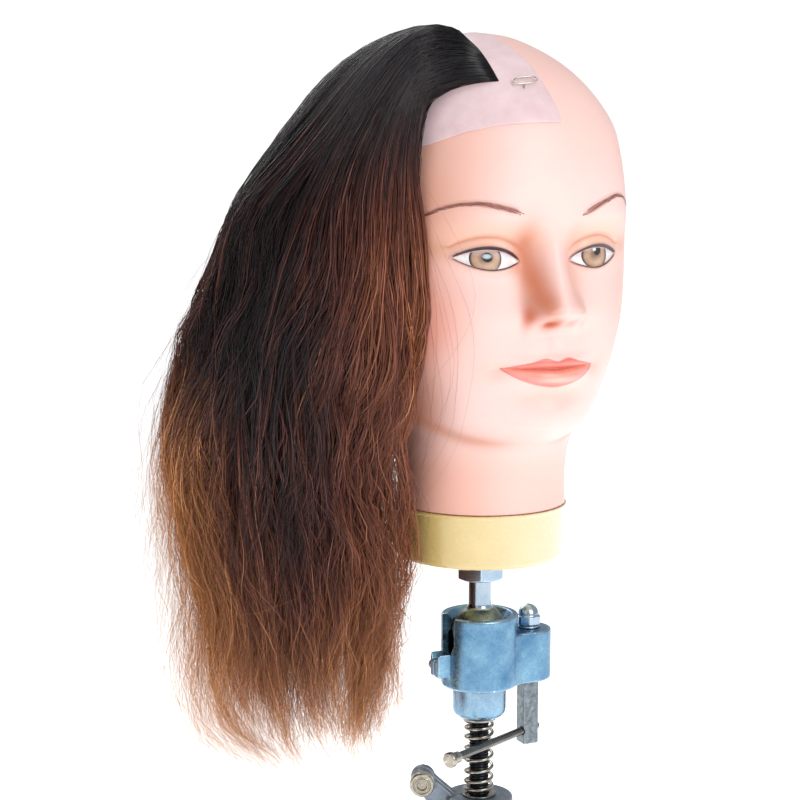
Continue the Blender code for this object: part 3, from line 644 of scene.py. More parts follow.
screw_core = threaded("clamp_screw_thread", radius=4.9, depth=0.75, pitch=3.0, bottom=-164.5,
                      top=-52.2, material=STEEL, place=SCREW_AXIS, per_pitch=9, lead=1.5)
screw_head = turned("clamp_screw_head", [
    (0, -183), (6.6, -183), (7.6, -182), (7.6, -168.5), (6.6, -167.5), (4.9, -165),
    (4.3, -164.4), (0, -164.4)], STEEL, 72, SCREW_AXIS)
combine(screw_head, (CUT, drum("bar hole", 2.6, -12, 12, steps=40, place=HANDLE)))
screw_neck = turned("clamp_screw_neck", [
    (0, -52.3), (4.2, -52.3), (4.2, -50.5), (3.25, -50.5), (3.25, -43), (0, -43)],
    STEEL, 60, SCREW_AXIS, rnd=0.2)
mount(screw_core, "screw", "steel", "clamp_screw")
mount(screw_head, "screw", "steel")
mount(screw_neck, "screw", "steel")

mount(turned("clamp_bar_turned", [(0, -36), (2.3, -36), (2.3, 36), (0, 36)], STEEL, 40, HANDLE,
             rnd=0.4), "screw_bar", "steel", "clamp_bar")
for side, side_name in ((-1, "left"), (1, "right")):
    mount(turned("bar_cap_%s_turned" % side_name, [
        (0, 36.4), (2.6, 36.4), (2.6, 30), (4.0, 30), (4.9, 33), (4.9, 37.5), (3.4, 40.5),
        (0, 41)], DARK, 56, at(0, -14.0, HANDLE_Z, (side, 0, 0)), rnd=0.5),
        "screw_bar", "dark_steel", "clamp_bar_cap_" + side_name)

# ---- Post and spring
mount(threaded("spindle_thread", POST_R, depth=0.55, pitch=1.75, bottom=18.5, top=94.2,
               material=DARK), "post", "dark_steel", "spindle")
mount(turned("spindle_head", [
    (0, 93.9), (5.2, 93.9), (5.2, 94.6), (8.3, 94.6), (8.3, 98.2), (0, 98.2)],
    DARK, 72), "post", "dark_steel")
for level, body, bottom, top in (("lower", "clamp", HUB_TOP + GAP, HUB_TOP + 1.3),
                                 ("upper", "post", 81.5, 82.6)):
    mount(turned("seat_washer_" + level, [(5.9, bottom), (9.4, bottom), (9.4, top), (5.9, top)],
                 STEEL, 72, ring=True, rnd=0.2), body, "steel", "spring_seat_" + level)
spring = coil("coil_spring", radius=7.35, wire_radius=0.95, bottom=40.35, top=80.45, turns=7.6,
              material=SPRING)
mount(spring, "clamp", "steel", "spring")
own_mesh(spring)

# ---- Ball holder
mount(turned("lower_collar_turned", [
    (POST_R + 0.4, COLLAR_BOT), (9.6, COLLAR_BOT), (11.6, COLLAR_BOT + 0.5),
    (13.3, COLLAR_BOT + 1.7), (14.3, COLLAR_BOT + 3.2), (COLLAR_R, COLLAR_BOT + 5.4),
    (COLLAR_R, COLLAR_TOP), (12.2, COLLAR_TOP), (12.2, 105.6), (9.0, 105.6), (9.0, 93.0),
    (POST_R + 0.4, 93.0)], ZINC, 128, ring=True, rnd=0.4), "holder", "zinc", "lower_collar")
mount(turned("thrust_washer_turned", [(5.8, 93.3), (8.6, 93.3), (8.6, 94.3), (5.8, 94.3)],
             BRASS, 64, ring=True, rnd=0.15), "holder", "brass", "thrust_washer")

SOCKET_R = 15.5     # spherical part of the cavity, round the ball
CAVITY = [(0, 106), (16.9, 106), (16.9, BALL_Z - 0.5)] + [
    (SOCKET_R * math.cos(math.radians(a)), BALL_Z + SOCKET_R * math.sin(math.radians(a)))
    for a in (0, 4, 8, 12, 16, 21)] + [(18.3, 142.0), (0, 142.0)]
LUG_WEB = [(14.0, -15.6), (19.6, -12.3), (22.5, -11.9), (22.5, 11.9), (19.6, 12.3), (14.0, 15.6)]
STUD_SLOT = [(-2.4, 117), (2.4, 117), (5.5, 121.5), (7.75, 126), (7.75, 145), (-7.75, 145),
             (-7.75, 126), (-5.5, 121.5)]

house = turned("housing_casting", [
    (0, HOUSE_BOT), (HOUSE_R, HOUSE_BOT), (HOUSE_R, HOUSE_TOP), (0, HOUSE_TOP)],
    ZINC, 160, rnd=1.1)
combine(
    house,
    (ADD, turned("lug", [(0, LUG_BOT + 0.5), (LUG_R, LUG_BOT + 0.5), (LUG_R, LUG_TOP),
                         (0, LUG_TOP)], steps=120, rnd=1.4, place=LUG)),
    (ADD, block("lug bridge", (10, LUG_X), (-LUG_R + 0.05, LUG_R - 0.05),
                (LUG_BOT + 0.6, LUG_TOP - 0.05), bevel=0.9)),
    (ADD, prism("lug web", LUG_WEB, HOUSE_BOT + 0.3, LUG_TOP - 0.6)),
    (ADD, block("ear", (-27.4, -18), (-5.2, 5.2), (108, 124.5), bevel=0.8)),
    (CUT, turned("cavity", CAVITY, steps=120, rnd=0)),
    (CUT, drum("collar bore", 12.5, 100, 107)),
    (CUT, drum("cam bore", 5.3, 99, 133, steps=60, place=LUG)),
    (CUT, drum("plunger bore", 4.5, 12.0, 27.0, steps=48, place=PLUNGER)),
    (CUT, prism("stud slot", STUD_SLOT, 8, 30, place=OUTLINE_YZ_BACK)),
    (CUT, block("ear split", (-30, -12), (-0.7, 0.7), (107, 119))),
    (CUT, drum("ear bore", 1.95, -4.2, 12, steps=36, place=EAR_SCREW)))
soften(house, voxel=0.40, passes=5)
mount(house, "holder", "zinc", "socket_housing")
mount(turned("ear_screw_turned", [
    (0, -3.9), (1.6, -3.9), (1.6, 5.5), (3.1, 5.5), (3.1, 8.2), (2.7, 8.6), (1.3, 8.6),
    (1.3, 6.9), (0, 6.9)], STEEL, 48, EAR_SCREW, rnd=0.2), "holder", "steel", "ear_screw")

# ---- Cam and tommy bar
shaft = turned("cam_shaft_cast", [
    (0, 64), (3.4, 64), (4.2, 64.8), (4.2, 100.6), (5.0, 100.6), (5.0, 118.0), (3.0, 118.0),
    (3.0, 139.0), (0, 139.0)], ZINC_BAR, 72, LUG, rnd=0.2)
combine(
    shaft,
    (ADD, block("square shank", (-4.6, 4.6), (-4.6, 4.6), (64, 100.6), bevel=0.7, place=LUG)),
    (ADD, drum("eccentric", 4.3, 117.5, 129.4, steps=60, place=at(LUG_X + 0.65, 0, 0))),
    (CUT, drum("bar hole", 2.5, -12, 12, steps=40, place=TOMMY)))
soften(shaft, voxel=0.30, passes=3)
mount(shaft, "cam", "zinc", "cam_shaft")
mount(turned("cam_washer_turned", [
    (3.3, LUG_TOP + GAP), (6.5, LUG_TOP + GAP), (6.5, LUG_TOP + 1.4), (3.3, LUG_TOP + 1.4)],
    CHROME, 72, LUG, ring=True, rnd=0.25), "cam", "steel", "cam_washer")

DOME = [(6.2 * math.cos(math.radians(a)) * 0.93, 136.9 + 6.05 * math.sin(math.radians(a)))
        for a in range(4, 90, 8)]
acorn = turned("acorn_nut_dome", [
    (0, 139.4), (3.3, 139.4), (3.3, 131.7), (6.0, 131.7), (6.7, 132.3), (6.7, 136.2),
    (6.1, 136.8), *DOME, (0, 143.0)], CHROME, 96, LUG, rnd=0)
combine(acorn, (KEEP, prism("hexagon", hexagon(12.4, phase=0.3), 128, 146, place=LUG)))
soften(acorn, voxel=0.17, passes=4)
mount(acorn, "cam", "chrome", "acorn_nut")
mount(turned("tommy_bar_turned", [(0, -9.0), (2.2, -9.0), (2.2, 66.0), (0, 66.0)],
             BAR_STEEL, 48, TOMMY, rnd=0.5), "tommy", "steel", "tommy_bar")
mount(turned("tommy_button_turned", [
    (0, 66.4), (2.5, 66.4), (2.5, 62.0), (3.0, 62.0), (3.2, 65.5), (4.2, 68.0), (4.2, 69.8),
    (3.6, 70.6), (0, 70.6)], NICKEL, 56, TOMMY, rnd=0.35), "tommy", "steel", "tommy_bar_button")

# ---- Ball, its seat and pressure pad, and the locknut
BALL_CENTRE = at(0, 0, BALL_Z)
plunger = drum("pressure_pad_turned", 4.2, 13.0, 26.05, BRASS, 56, PLUNGER)
combine(plunger, (CUT, turned("ball hollow", ball_arc(16.1, range(0, 181, 4)), steps=90, rnd=0,
                              place=BALL_CENTRE)))
mount(plunger, "plunger", "brass", "pressure_pad")
mount(turned("ball_seat_moulded",
             ball_arc(16.5, [*range(0, 44, 4), 43]) + ball_arc(15.4, [43, *range(40, -1, -4)]),
             NYLON, 96, BALL_CENTRE, rnd=0), "seat", "nylon", "ball_seat")

neck_angle = math.degrees(math.asin(STUD_R / BALL_R))
ball = turned("ball_stud_turned",
              ball_arc(BALL_R, np.linspace(0, 180 - neck_angle - 4, 40))
              + [(STUD_R + 0.5, 14.1), (STUD_R + 0.1, 14.9), (STUD_R, 15.8), (STUD_R, 64.2),
                 (5.5, 65.0), (0, 65.0)], CHROME, 112, BALL_CENTRE, rnd=0)
ball.data.materials.append(BALL)
for polygon in ball.data.polygons:
    if polygon.center.z < (BALL_Z + 13.4) * MM:
        polygon.material_index = 1
mount(ball, "ball", "chrome", "ball_stud")

nut = turned("locknut_hex", [
    (6.6, NUT_BOT), (11.6, NUT_BOT), (13.9, NUT_BOT + 1.3), (13.9, NUT_TOP - 1.3),
    (11.6, NUT_TOP), (6.6, NUT_TOP)], CHROME, 96, ring=True, rnd=0)
combine(nut, (KEEP, prism("hexagon", hexagon(24.0, phase=0.12), NUT_BOT - 2, NUT_TOP + 2)))
soften(nut, voxel=0.28, passes=4)
mount(nut, "ball", "chrome", "hex_locknut")

# ---- Neck cap and threaded insert
cap = turned("neck_cap_moulded", [
    (9.0, CAP_BOT), (42.0, CAP_BOT), (43.9, CAP_BOT + 0.7), (44.9, CAP_BOT + 2.6),
    (45.5, 201.4), (45.7, 201.9), (CAP_R, 202.3), (CAP_R, CAP_TOP), (43.4, CAP_TOP),
    (43.0, CAP_BOT + 4.0), (9.0, CAP_BOT + 4.0)], CAP, 192, ring=True, rnd=0.7)
insert = turned("threaded_insert_turned", [
    (6.65, 178.7), (22.0, 178.7), (22.0, 182.0), (10.5, 182.0), (10.5, 197.5), (6.65, 197.5)],
    BRASS, 80, ring=True, rnd=0.3)
screw_places = []
for k in range(3):
    angle = math.radians(90 + 120 * k)
    screw_places.append(at(16.5 * math.cos(angle), 16.5 * math.sin(angle), 0))
    mount(turned("insert_screw_%d_turned" % (k + 1), [
        (0, 175.8), (1.6, 175.8), (1.6, 182.4), (3.6, 182.4), (3.4, 184.2), (2.2, 184.8),
        (0, 184.8)], STEEL, 40, screw_places[k], rnd=0.2),
        "head", "steel", "insert_screw_%d" % (k + 1))
for piece in (cap, insert):
    combine(piece, *[(CUT, drum("screw hole", 2.0, 172, 190, steps=32, place=place))
                     for place in screw_places])
mount(cap, "head", "yellow", "neck_cap")
mount(insert, "head", "brass", "threaded_insert")

# ---- Shape of the head
# Rings from neck to crown: front z, front y, back z, back y, half width,
# y of the widest point, exponent of the front half (2 is an ellipse).
HEAD_RINGS = np.array([
    (204.2, -45.5, 204.2, 45.5, 45.5, 0, 2), (212, -45, 213, 45, 45, 0, 2),
    (222, -45.3, 228, 45.5, 45.3, 0, 2), (232, -47, 243, 48, 46.5, 0, 2),
    (239, -51, 257, 53, 49, 1, 1.95), (243, -58, 270, 60, 53, 3, 1.85),
    (246.5, -66, 282, 68, 56.5, 5, 1.78), (253, -73.5, 293, 75, 61, 6, 1.75),
    (262, -77, 303, 81, 64.8, 7, 1.78), (273, -79, 313, 86.5, 68.4, 8, 1.85),
    (285, -80, 323, 91, 70.8, 8, 1.92), (298, -80, 334, 95, 72.2, 8, 2),
    (312, -79, 345, 98, 73.4, 8, 2.05), (327, -78.4, 357, 100, 74.6, 8, 2.1),
    (342, -79.5, 369, 101, 74, 8, 2.15), (357, -81.3, 381, 101, 72.6, 8.5, 2.2),
    (372, -81.8, 392, 99.5, 71, 9, 2.2), (387, -80.4, 402.5, 96, 68.6, 9.5, 2.2),
    (401, -76.6, 413, 90, 65.4, 10, 2.2), (414, -69.5, 422.5, 82, 58.8, 10, 2.15),
    (426, -59, 431.5, 71.5, 50, 10, 2.1), (436, -46, 439.5, 58.5, 39.5, 10, 2.05),
    (444, -31, 446, 43, 27, 10, 2), (449.5, -14.5, 450.3, 25, 14.5, 8, 2),
    (452, 3, 452, 5, 1, 4, 2),
])


def ring_at(level):
    """Catmull-Rom between the rings; level 0 is the first ring."""
    last = len(HEAD_RINGS) - 1
    level = np.clip(np.asarray(level, float), 0, last - 0.0001)
    i = np.floor(level).astype(int)
    t = (level - i)[..., None]
    before, here, after, beyond = (HEAD_RINGS[np.clip(i + k, 0, last)] for k in (-1, 0, 1, 2))
    return 0.5 * (2 * here + (after - before) * t
                  + (2 * before - 5 * here + 4 * after - beyond) * t * t
                  + (3 * here - before - 3 * after + beyond) * t ** 3)


def smooth(start, end, x):
    """Smoothstep from 0 at start to 1 at end."""
    t = np.clip((x - start) / (end - start), 0, 1)
    return t * t * (3 - 2 * t)


def gauss(x, centre, width):
    return np.exp(-((x - centre) / width) ** 2)


def spot(x, z, cx, cz, width_x, width_z):
    return np.exp(-((x - cx) / width_x) ** 2 - ((z - cz) / width_z) ** 2)


def bump(x, z, cx, cz, sigma_x, sigma_z):
    return np.exp(-0.5 * ((x - cx) / sigma_x) ** 2 - 0.5 * ((z - cz) / sigma_z) ** 2)


def skull(level, angle):
    """x, y, z of the plain head; angle 0 is the front, positive toward +X."""
    front_z, front_y, back_z, back_y, half, mid_y, power = np.moveaxis(ring_at(level), -1, 0)
    sine, cosine = np.sin(angle), np.cos(angle)
    power = np.where(cosine > 0, power, 2.0)
    side = np.sign(sine) * np.abs(sine) ** (2 / power)
    ahead = np.sign(cosine) * np.abs(cosine) ** (2 / power)
    y = np.where(cosine > 0, mid_y - (mid_y - front_y) * ahead, mid_y - (back_y - mid_y) * ahead)
    return half * side, y, front_z + (back_z - front_z) * (1 - cosine) / 2


# Nose: z, height, half width.
NOSE_Z = [300.5, 303.5, 306.5, 309.5, 312.5, 315.5, 320, 326, 333, 340, 347, 354, 361]
NOSE_H = [0, 1.8, 7.0, 12.5, 15.2, 15.6, 14.0, 11.6, 8.6, 5.8, 3.2, 1.2, 0]
NOSE_W = [12, 12, 12, 12, 11.6, 11.0, 9.8, 8.6, 7.4, 6.6, 6.4, 7.0, 8.0]

EYE_IN, EYE_OUT = (14.8, 337.2), (47.0, 339.4)      # |x|, z of the corners
EYE_WIDTH = EYE_OUT[0] - EYE_IN[0]
EYE_SHIFT = 2.2                                     # the left eye sits this much inward

# Raised (+) and sunk (-) forms: height, |x|, z, sigma x, sigma z.
UPPER_FORMS = [
    (6.6, 11.0, 312.8, 4.1, 4.6),       # wings of the nose
    (-1.9, 16.8, 312.0, 2.4, 5.0),      # crease beside them
    (-4.4, 6.2, 307.2, 2.7, 1.8),       # nostrils
    (2.2, 27, 359, 16, 6.5),            # brow
    (-7.0, 29, 341.5, 17.0, 10.5),      # eye socket
    (-4.5, 13.5, 338.5, 5.2, 7.0),      # its inner corner
    (3.2, 43, 315, 16, 14),             # cheek
    (3.0, 0, 283, 21, 13),              # mouth
]
LOWER_FORMS = [
    (-1.8, 27, 284.3, 3.0, 3.2),        # corners of the mouth
    (-2.6, 0, 271.5, 17, 4.5),          # hollow under the lip
    (4.8, 0, 255, 14, 9),               # chin
    (-0.9, 0, 298.5, 2.6, 4.6),         # philtrum
]


def lids(across):
    """Heights of the upper and lower lid edge; 0 is the inner corner, 1 the outer."""
    across = np.clip(across, 0, 1)
    line = EYE_IN[1] + (EYE_OUT[1] - EYE_IN[1]) * across
    upper = line + 6.0 * np.sin(math.pi * across ** 0.90) ** 0.78
    lower = line - 5.0 * np.sin(math.pi * across ** 1.02) ** 0.84
    return upper, lower


def eye_x(x):
    return np.where(x > 0, np.abs(x) + EYE_SHIFT, np.abs(x))


def eye_across(x):
    return (eye_x(x) - EYE_IN[0]) / EYE_WIDTH


def face(x, z):
    """How far the features stand out of the skull's front, toward -Y."""
    side = np.abs(x)
    height, width = np.interp(z, NOSE_Z, NOSE_H), np.interp(z, NOSE_Z, NOSE_W)
    out = height * (0.74 * np.exp(-(side / width) ** 2.3)
                    + 0.26 * np.exp(-(side / (1.75 * width)) ** 2))
    for amount, *form in UPPER_FORMS:
        out = out + amount * bump(side, z, *form)
    # upper lip, lower lip and the seam between them
    out += 2.0 * np.exp(-((z - 288.4) / 3.0) ** 2 - (side / 17) ** 4)
    out += 3.0 * np.exp(-((z - 280.0) / 3.7) ** 2 - (side / 15) ** 4)
    out -= 2.3 * np.exp(-((z - 284.6) / 1.1) ** 2 - (side / 25) ** 6)
    for amount, *form in LOWER_FORMS:
        out = out + amount * bump(side, z, *form)
    # eyeball, sunk lid opening, lid rims and the fold above them
    across = eye_across(x)
    upper, lower = lids(across)
    above, below = z - upper, lower - z
    window = smooth(-0.06, 0.16, across) * (1 - smooth(0.90, 1.10, across))
    out += 4.4 * bump(eye_x(x), z, 31, 338.8, 11.5, 6.6)
    opening = (1 / (1 + np.exp(np.clip(above / 0.32, -30, 30)))
               / (1 + np.exp(np.clip(below / 0.32, -30, 30))))
    out -= 1.15 * opening * window
    out += 0.9 * gauss(above, 1.3, 1.5) * window
    out += 0.5 * gauss(below, 1.0, 1.3) * window
    out -= 1.5 * gauss(above, 5.4, 1.25) * window
    return out


EAR_Y, EAR_Z, EAR_HALF_WIDTH, EAR_HALF_HEIGHT = 20.0, 336.0, 17.0, 30.5


def ear_height(y, z):
    """Relief of an ear over the side of the head; 0 outside it.

    `back` and `up` run -1..1 over the ear, `ring` is 1 on its outline.
    """
    back = ((y - EAR_Y) + 0.20 * (z - EAR_Z)) / EAR_HALF_WIDTH     # leans forward at the top
    up = (z - EAR_Z) / EAR_HALF_HEIGHT
    lobe_taper = 0.20 * np.exp(-0.5 * ((up + 0.75) / 0.35) ** 2)
    ring = np.sqrt(back ** 2 + up ** 2) / (1.0 - lobe_taper * (1 - smooth(-0.9, 0.9, back) * 0.6))
    height = (2.6 + 7.6 * smooth(-1.0, 0.95, back)) * 0.58
    top_back = np.clip(smooth(-0.55, 0.25, up)
                       + smooth(0.0, 0.7, back) * smooth(-0.85, -0.3, up), 0, 1)
    height = height + gauss(ring, 0.86, 0.095) * 3.6 * top_back                 # helix
    height = height + 2.7 * (gauss(ring, 0.55, 0.085) * smooth(-0.35, 0.15, back)
                             * smooth(-0.75, -0.35, up) * (1 - smooth(0.60, 0.95, up)))
    height = height - 1.7 * (gauss(ring, 0.705, 0.07) * smooth(-0.2, 0.3, back)
                             * (1 - smooth(0.75, 0.95, up)) * smooth(-0.6, -0.2, up))
    height = height - 4.6 * np.exp(-((back + 0.02) / 0.40) ** 2 - ((up + 0.02) / 0.36) ** 4)
    height = height - 2.4 * spot(back, up, -0.34, -0.05, 0.14, 0.10)            # canal
    height = height + 2.6 * spot(back, up, -0.60, -0.06, 0.17, 0.15)            # tragus
    height = height + 1.8 * spot(back, up, -0.02, -0.50, 0.20, 0.09)            # antitragus
    height = height + 1.9 * (gauss(up - 0.16 - 0.10 * back, 0, 0.07)            # crus
                             * smooth(-0.85, -0.6, back) * (1 - smooth(-0.25, 0.02, back)))
    height = height + 1.2 * spot(back, up, -0.15, -0.80, 0.42, 0.20)            # lobe
    return np.maximum(height, 0) * (1 - smooth(0.90, 1.05, ring))


def head_point(level, angle):
    x, y, z = skull(level, angle)
    out = face(x, z)
    ear = ear_height(y, z) * smooth(0.86, 0.96, np.abs(np.sin(angle)))
    x = x + np.sign(x) * ear
    y = y + 0.22 * ear
    return np.stack([x, y - out * smooth(0.10, 0.45, np.cos(angle)), z], -1)


def spread(knots, counts):
    """Values that walk along the knots with the given number of steps in each span."""
    parts = [np.linspace(a, b, n, endpoint=False) for a, b, n in zip(knots, knots[1:], counts)]
    return np.concatenate(parts + [[knots[-1]]])


# ---- Painted colours of the head
def mix_in(colours, weight, colour):
    """Blends an sRGB colour into linear ones by weight."""
    weight = weight[..., None]
    return colours * (1 - weight) + np.array(rgb(*colour)) * weight


def colour_ramp(stops, value):
    places = [place for place, _ in stops]
    colours = np.array([rgb(*colour) for _, colour in stops])
    return np.stack([np.interp(value, places, colours[:, k]) for k in range(3)], -1)


def head_colours(points):
    """Painted skin tones: pale forehead, rosy cheeks, and warm painted shade in the hollows and on
    the right side, away from the key light.
    """
    x, y, z = points[..., 0], points[..., 1], points[..., 2]
    side = np.abs(x)
    front = smooth(10, -25, y)
    # painted shade: the right side, away from the key light, is painted deeper
    right = 0.28 + 0.72 * smooth(6, -6, x)      # the right side is painted deeper
    across = eye_across(x)
    upper, lower = lids(across)
    window = smooth(-0.10, 0.12, across) * (1 - smooth(0.98, 1.18, across)) * front
    ear = ear_height(y, z)
    tints = [
        # neck, right side of the face, right temple: painted shade, deeper on the right
        ((0.20 + 0.45 * smooth(2, -46, x)) * smooth(256, 222, z), (238, 164, 134)),
        (0.66 * smooth(-36, -66, x) * smooth(400, 330, z) * smooth(240, 262, z), (232, 146, 108)),
        (0.66 * smooth(-20, -58, x) * smooth(326, 372, z), (222, 152, 118)),
        # forehead; crown painted darker as shade from the weak light above; painted shade on the
        # right jaw; left side
        (0.26 * smooth(366, 392, z) * front, (240, 188, 174)),
        (0.45 * smooth(412, 442, z), (234, 188, 178)),
        (0.74 * smooth(-33, -56, x) * smooth(290, 256, z) * smooth(232, 244, z), (176, 100, 72)),
        (0.30 * smooth(30, 66, x) * smooth(240, 300, z), (248, 200, 196)),
        # cheeks; painted shade along the right cheek's edge by the hair
        (0.34 * bump(side, z, 54, 306, 12, 14) * front, (243, 156, 136)),
        (0.45 * bump(x, z, -62, 306, 10, 17), (226, 132, 106)),
        # outer eye corner, upper lid; painted shade at the inner eye corner, deeper on the right
        (0.45 * bump(side, z, 52, 343.5, 6.0, 3.2) * front, (206, 140, 102)),
        (0.50 * bump(side, z, 30, 349, 17, 5.5) * front, (240, 178, 138)),
        (0.85 * right * bump(side, z, 13.5, 342, 4.6, 9.5) * front, (206, 120, 76)),
        # painted shade on the sides of the nose, in the wing crease and in the nostrils; the left
        # nostril only faint
        (0.88 * right * bump(side, z, 10.6, 328, 4.4, 9) * front, (206, 118, 78)),
        (0.88 * right * bump(side, z, 9.4, 318, 4.6, 5.5) * front, (200, 110, 70)),
        (0.90 * right * bump(side, z, 15.4, 311.0, 1.7, 4.2) * front, (206, 100, 58)),
        (1.0 * bump(x, z, -4.1, 307.0, 3.4, 2.1) * front, (192, 88, 48)),
        (0.30 * bump(x, z, 6.6, 307.0, 2.6, 1.5) * front, (214, 130, 96)),
        # painted shadow under the lip; corners of the mouth
        (0.25 * bump(side, z, 0, 271.5, 15, 4) * front, (240, 176, 150)),
        (0.30 * bump(side, z, 29, 284, 5, 5) * front, (240, 176, 152)),
        # lid fold, upper lid, lower lid
        (0.62 * gauss(z - upper, 5.2, 0.75) * window, (196, 118, 84)),
        (0.40 * gauss(z - upper, 2.6, 1.8) * window, (244, 196, 172)),
        (0.30 * gauss(lower - z, 1.6, 1.6) * window, (238, 178, 152)),
        # back of the head, ears
        (0.35 * smooth(-30, 30, y) * smooth(395, 250, z) * smooth(250, 262, z), (244, 190, 168)),
        (0.30 * smooth(8.0, 3.5, ear) * (ear > 0.5) * smooth(0.9, 1.0, side / 72),
         (236, 164, 140)),
    ]
    colours = np.ones(points.shape) * np.array(rgb(250, 214, 208))
    for weight, colour in tints:
        colours = mix_in(colours, np.clip(weight, 0, 1), colour)
    return np.clip(colours, 0, 1)


def paint(mesh, colours):
    """Stores linear colours, one for each vertex, in the attribute the skin reads."""
    colours = colours.reshape(-1, 3)
    layer = mesh.color_attributes.new("col", "FLOAT_COLOR", "POINT")
    opaque = np.concatenate([colours, np.ones((len(colours), 1))], 1)
    layer.data.foreach_set("color", opaque.astype(np.float32).ravel())


def recalc_normals(mesh):
    shape = bmesh.new()
    shape.from_mesh(mesh)
    bmesh.ops.recalc_face_normals(shape, faces=shape.faces)
    shape.to_mesh(mesh)
    shape.free()


def moulded_head():
    """Closed head: rings up to the crown point, and a shallow recess under the neck."""
    half = spread([0, 25, 62, 78, 122, 180], [46, 62, 12, 62, 34])      # degrees
    angles = np.radians(np.concatenate([half, -half[-2:0:-1]]))
    levels = spread([0, 4, 7, 8.2, 14.8, 16, 18, 21, 23, 23.93],
                    [22, 26, 16, 184, 16, 22, 24, 16, 10])
    level, angle = np.meshgrid(levels, angles, indexing="ij")
    points = head_point(level, angle)
    rows, columns = level.shape

    # painted shadow along the underside of the jaw, rising toward the ears
    turn = np.abs((angle + math.pi) % (2 * math.pi) - math.pi)
    jaw = (gauss(level - 4.9 - 0.9 * smooth(0.55, 1.15, turn), 0, 0.85)
           * smooth(0.10, 0.55, turn) * (1 - smooth(1.7, 2.3, turn)))
    colours = mix_in(head_colours(points), 0.62 * jaw, (206, 132, 98))

    rim = np.stack([points[0] * np.array([k, k, 1]) for k in (0.985, 0.94)])
    rim[:, :, 2] = 204.1
    recess = np.concatenate([rim, rim[-1:] + np.array([0, 0, 9.0])])

    index = np.arange(rows * columns).reshape(rows, columns)
    low, high = index[:-1], index[1:]
    faces = np.stack([low, np.roll(low, -1, 1), np.roll(high, -1, 1), high], -1)
    faces = faces.reshape(-1, 4).tolist()
    crown = rows * columns
    top = index[-1].tolist()
    faces += [[top[j], top[(j + 1) % columns], crown] for j in range(columns)]
    outer = index[0].tolist()
    for r in range(len(recess)):
        inner = list(range(crown + 1 + r * columns, crown + 1 + (r + 1) * columns))
        for j in range(columns):
            k = (j + 1) % columns
            faces.append([outer[k], outer[j], inner[j], inner[k]])
        outer = inner
    faces.append(outer)

    verts = np.concatenate([points.reshape(-1, 3), [(0, 4.0, 452.05)], recess.reshape(-1, 3)])
    mesh = bpy.data.meshes.new("head_moulded")
    mesh.from_pydata((verts * MM).tolist(), [], faces)
    paint(mesh, np.concatenate([colours.reshape(-1, 3), colours[-1, :1],
                                np.repeat(colours[:1], len(recess), 0).reshape(-1, 3)]))
    mesh.shade_smooth()
    obj = link_object("head_moulded", mesh, SKIN)
    recalc_normals(mesh)
    return obj


head = moulded_head()
mount(head, "head", "skin", "head_skin", "foam_core")

head_shape = bmesh.new()
head_shape.from_mesh(head.data)
HEAD_TREE = BVHTree.FromBMesh(head_shape)
head_shape.free()


# ---- Painted face
def project(x, z, lift):
    """Point on the face in front of (x, z), lifted off it."""
    hit, normal, _, _ = HEAD_TREE.ray_cast(Vector((x, -160, z)) * MM, Vector((0, 1, 0)))
    if hit is None:
        return Vector((x, 0, z))
    if normal.y > 0:
        normal = -normal
    return (hit + normal * lift * MM) / MM


def thicken(obj, thickness, offset=-1):
    modifier = obj.modifiers.new("thickness", "SOLIDIFY")
    modifier.thickness = thickness * MM
    modifier.offset = offset


PAINT_THICKNESS = 0.05


def sheet(name, points, colours, material, lift, close=False):
    """Grid of (x, z) points laid on the face as a thin painted layer."""
    rows, columns = points.shape[:2]
    verts = np.array([[project(*point, lift) for point in row] for row in points], float)
    faces = []
    for i in range(rows if close else rows - 1):
        this, following = i * columns, (i + 1) % rows * columns
        for j in range(columns - 1):
            faces.append((this + j, following + j, following + j + 1, this + j + 1))
    mesh = bpy.data.meshes.new(name)
    mesh.from_pydata((verts.reshape(-1, 3) * MM).tolist(), [], faces)
    paint(mesh, colours)
    shape = bmesh.new()
    shape.from_mesh(mesh)
    bmesh.ops.remove_doubles(shape, verts=shape.verts, dist=2e-7)
    bmesh.ops.recalc_face_normals(shape, faces=shape.faces)
    shape.normal_update()
    # the largest faces decide whether the sheet faces backward
    large = sorted(shape.faces, key=lambda f: -f.calc_area())[:20]
    if sum(f.normal.y for f in large) > 0 and abs(sum(f.normal.z for f in large)) < 12:
        bmesh.ops.reverse_faces(shape, faces=shape.faces)
    shape.to_mesh(mesh)
    shape.free()
    mesh.shade_smooth()
    obj = link_object(name, mesh, material)
    thicken(obj, PAINT_THICKNESS)
    bake(obj)
    obj.data.shade_smooth()
    mount(obj, "head", "skin")


def soft_strip(name, centre, width, colour, lift, edge, columns=9, strength=1.0):
    """Painted line: dark along its middle, fading to the skin at its edges."""
    along = np.gradient(centre, axis=0)
    normal = np.stack([-along[:, 1], along[:, 0]], -1)
    normal /= np.linalg.norm(normal, axis=1, keepdims=True) + 1e-9
    side = np.linspace(-0.5, 0.5, columns)
    points = centre[:, None, :] + normal[:, None, :] * (width[:, None, None]
                                                        * side[None, :, None])
    t = np.linspace(0, 1, len(centre))
    fade = smooth(0, 0.06, t) * (1 - smooth(0.94, 1.0, t)) * strength
    weight = (1 - smooth(0.5 - edge, 0.5, np.abs(side)))[None, :] * fade[:, None]
    x, z = points[..., 0], points[..., 1]
    skin = head_colours(np.stack([x, -70 + 0 * x, z], -1))
    sheet(name, points, mix_in(skin, weight, colour), PAINT, lift)


def disc(centre, radii, rings, spokes):
    """(x, z) points of an ellipse, with each one's share of the radius and its angle."""
    share = np.repeat(np.linspace(0.0, 1.0, rings)[None, :], spokes, 0)
    angle = np.linspace(0, 2 * math.pi, spokes, endpoint=False)
    angle = np.repeat(angle[:, None], rings, 1)
    points = np.stack([centre[0] + radii[0] * share * np.cos(angle),
                       centre[1] + radii[1] * share * np.sin(angle)], -1)
    return points, share, angle


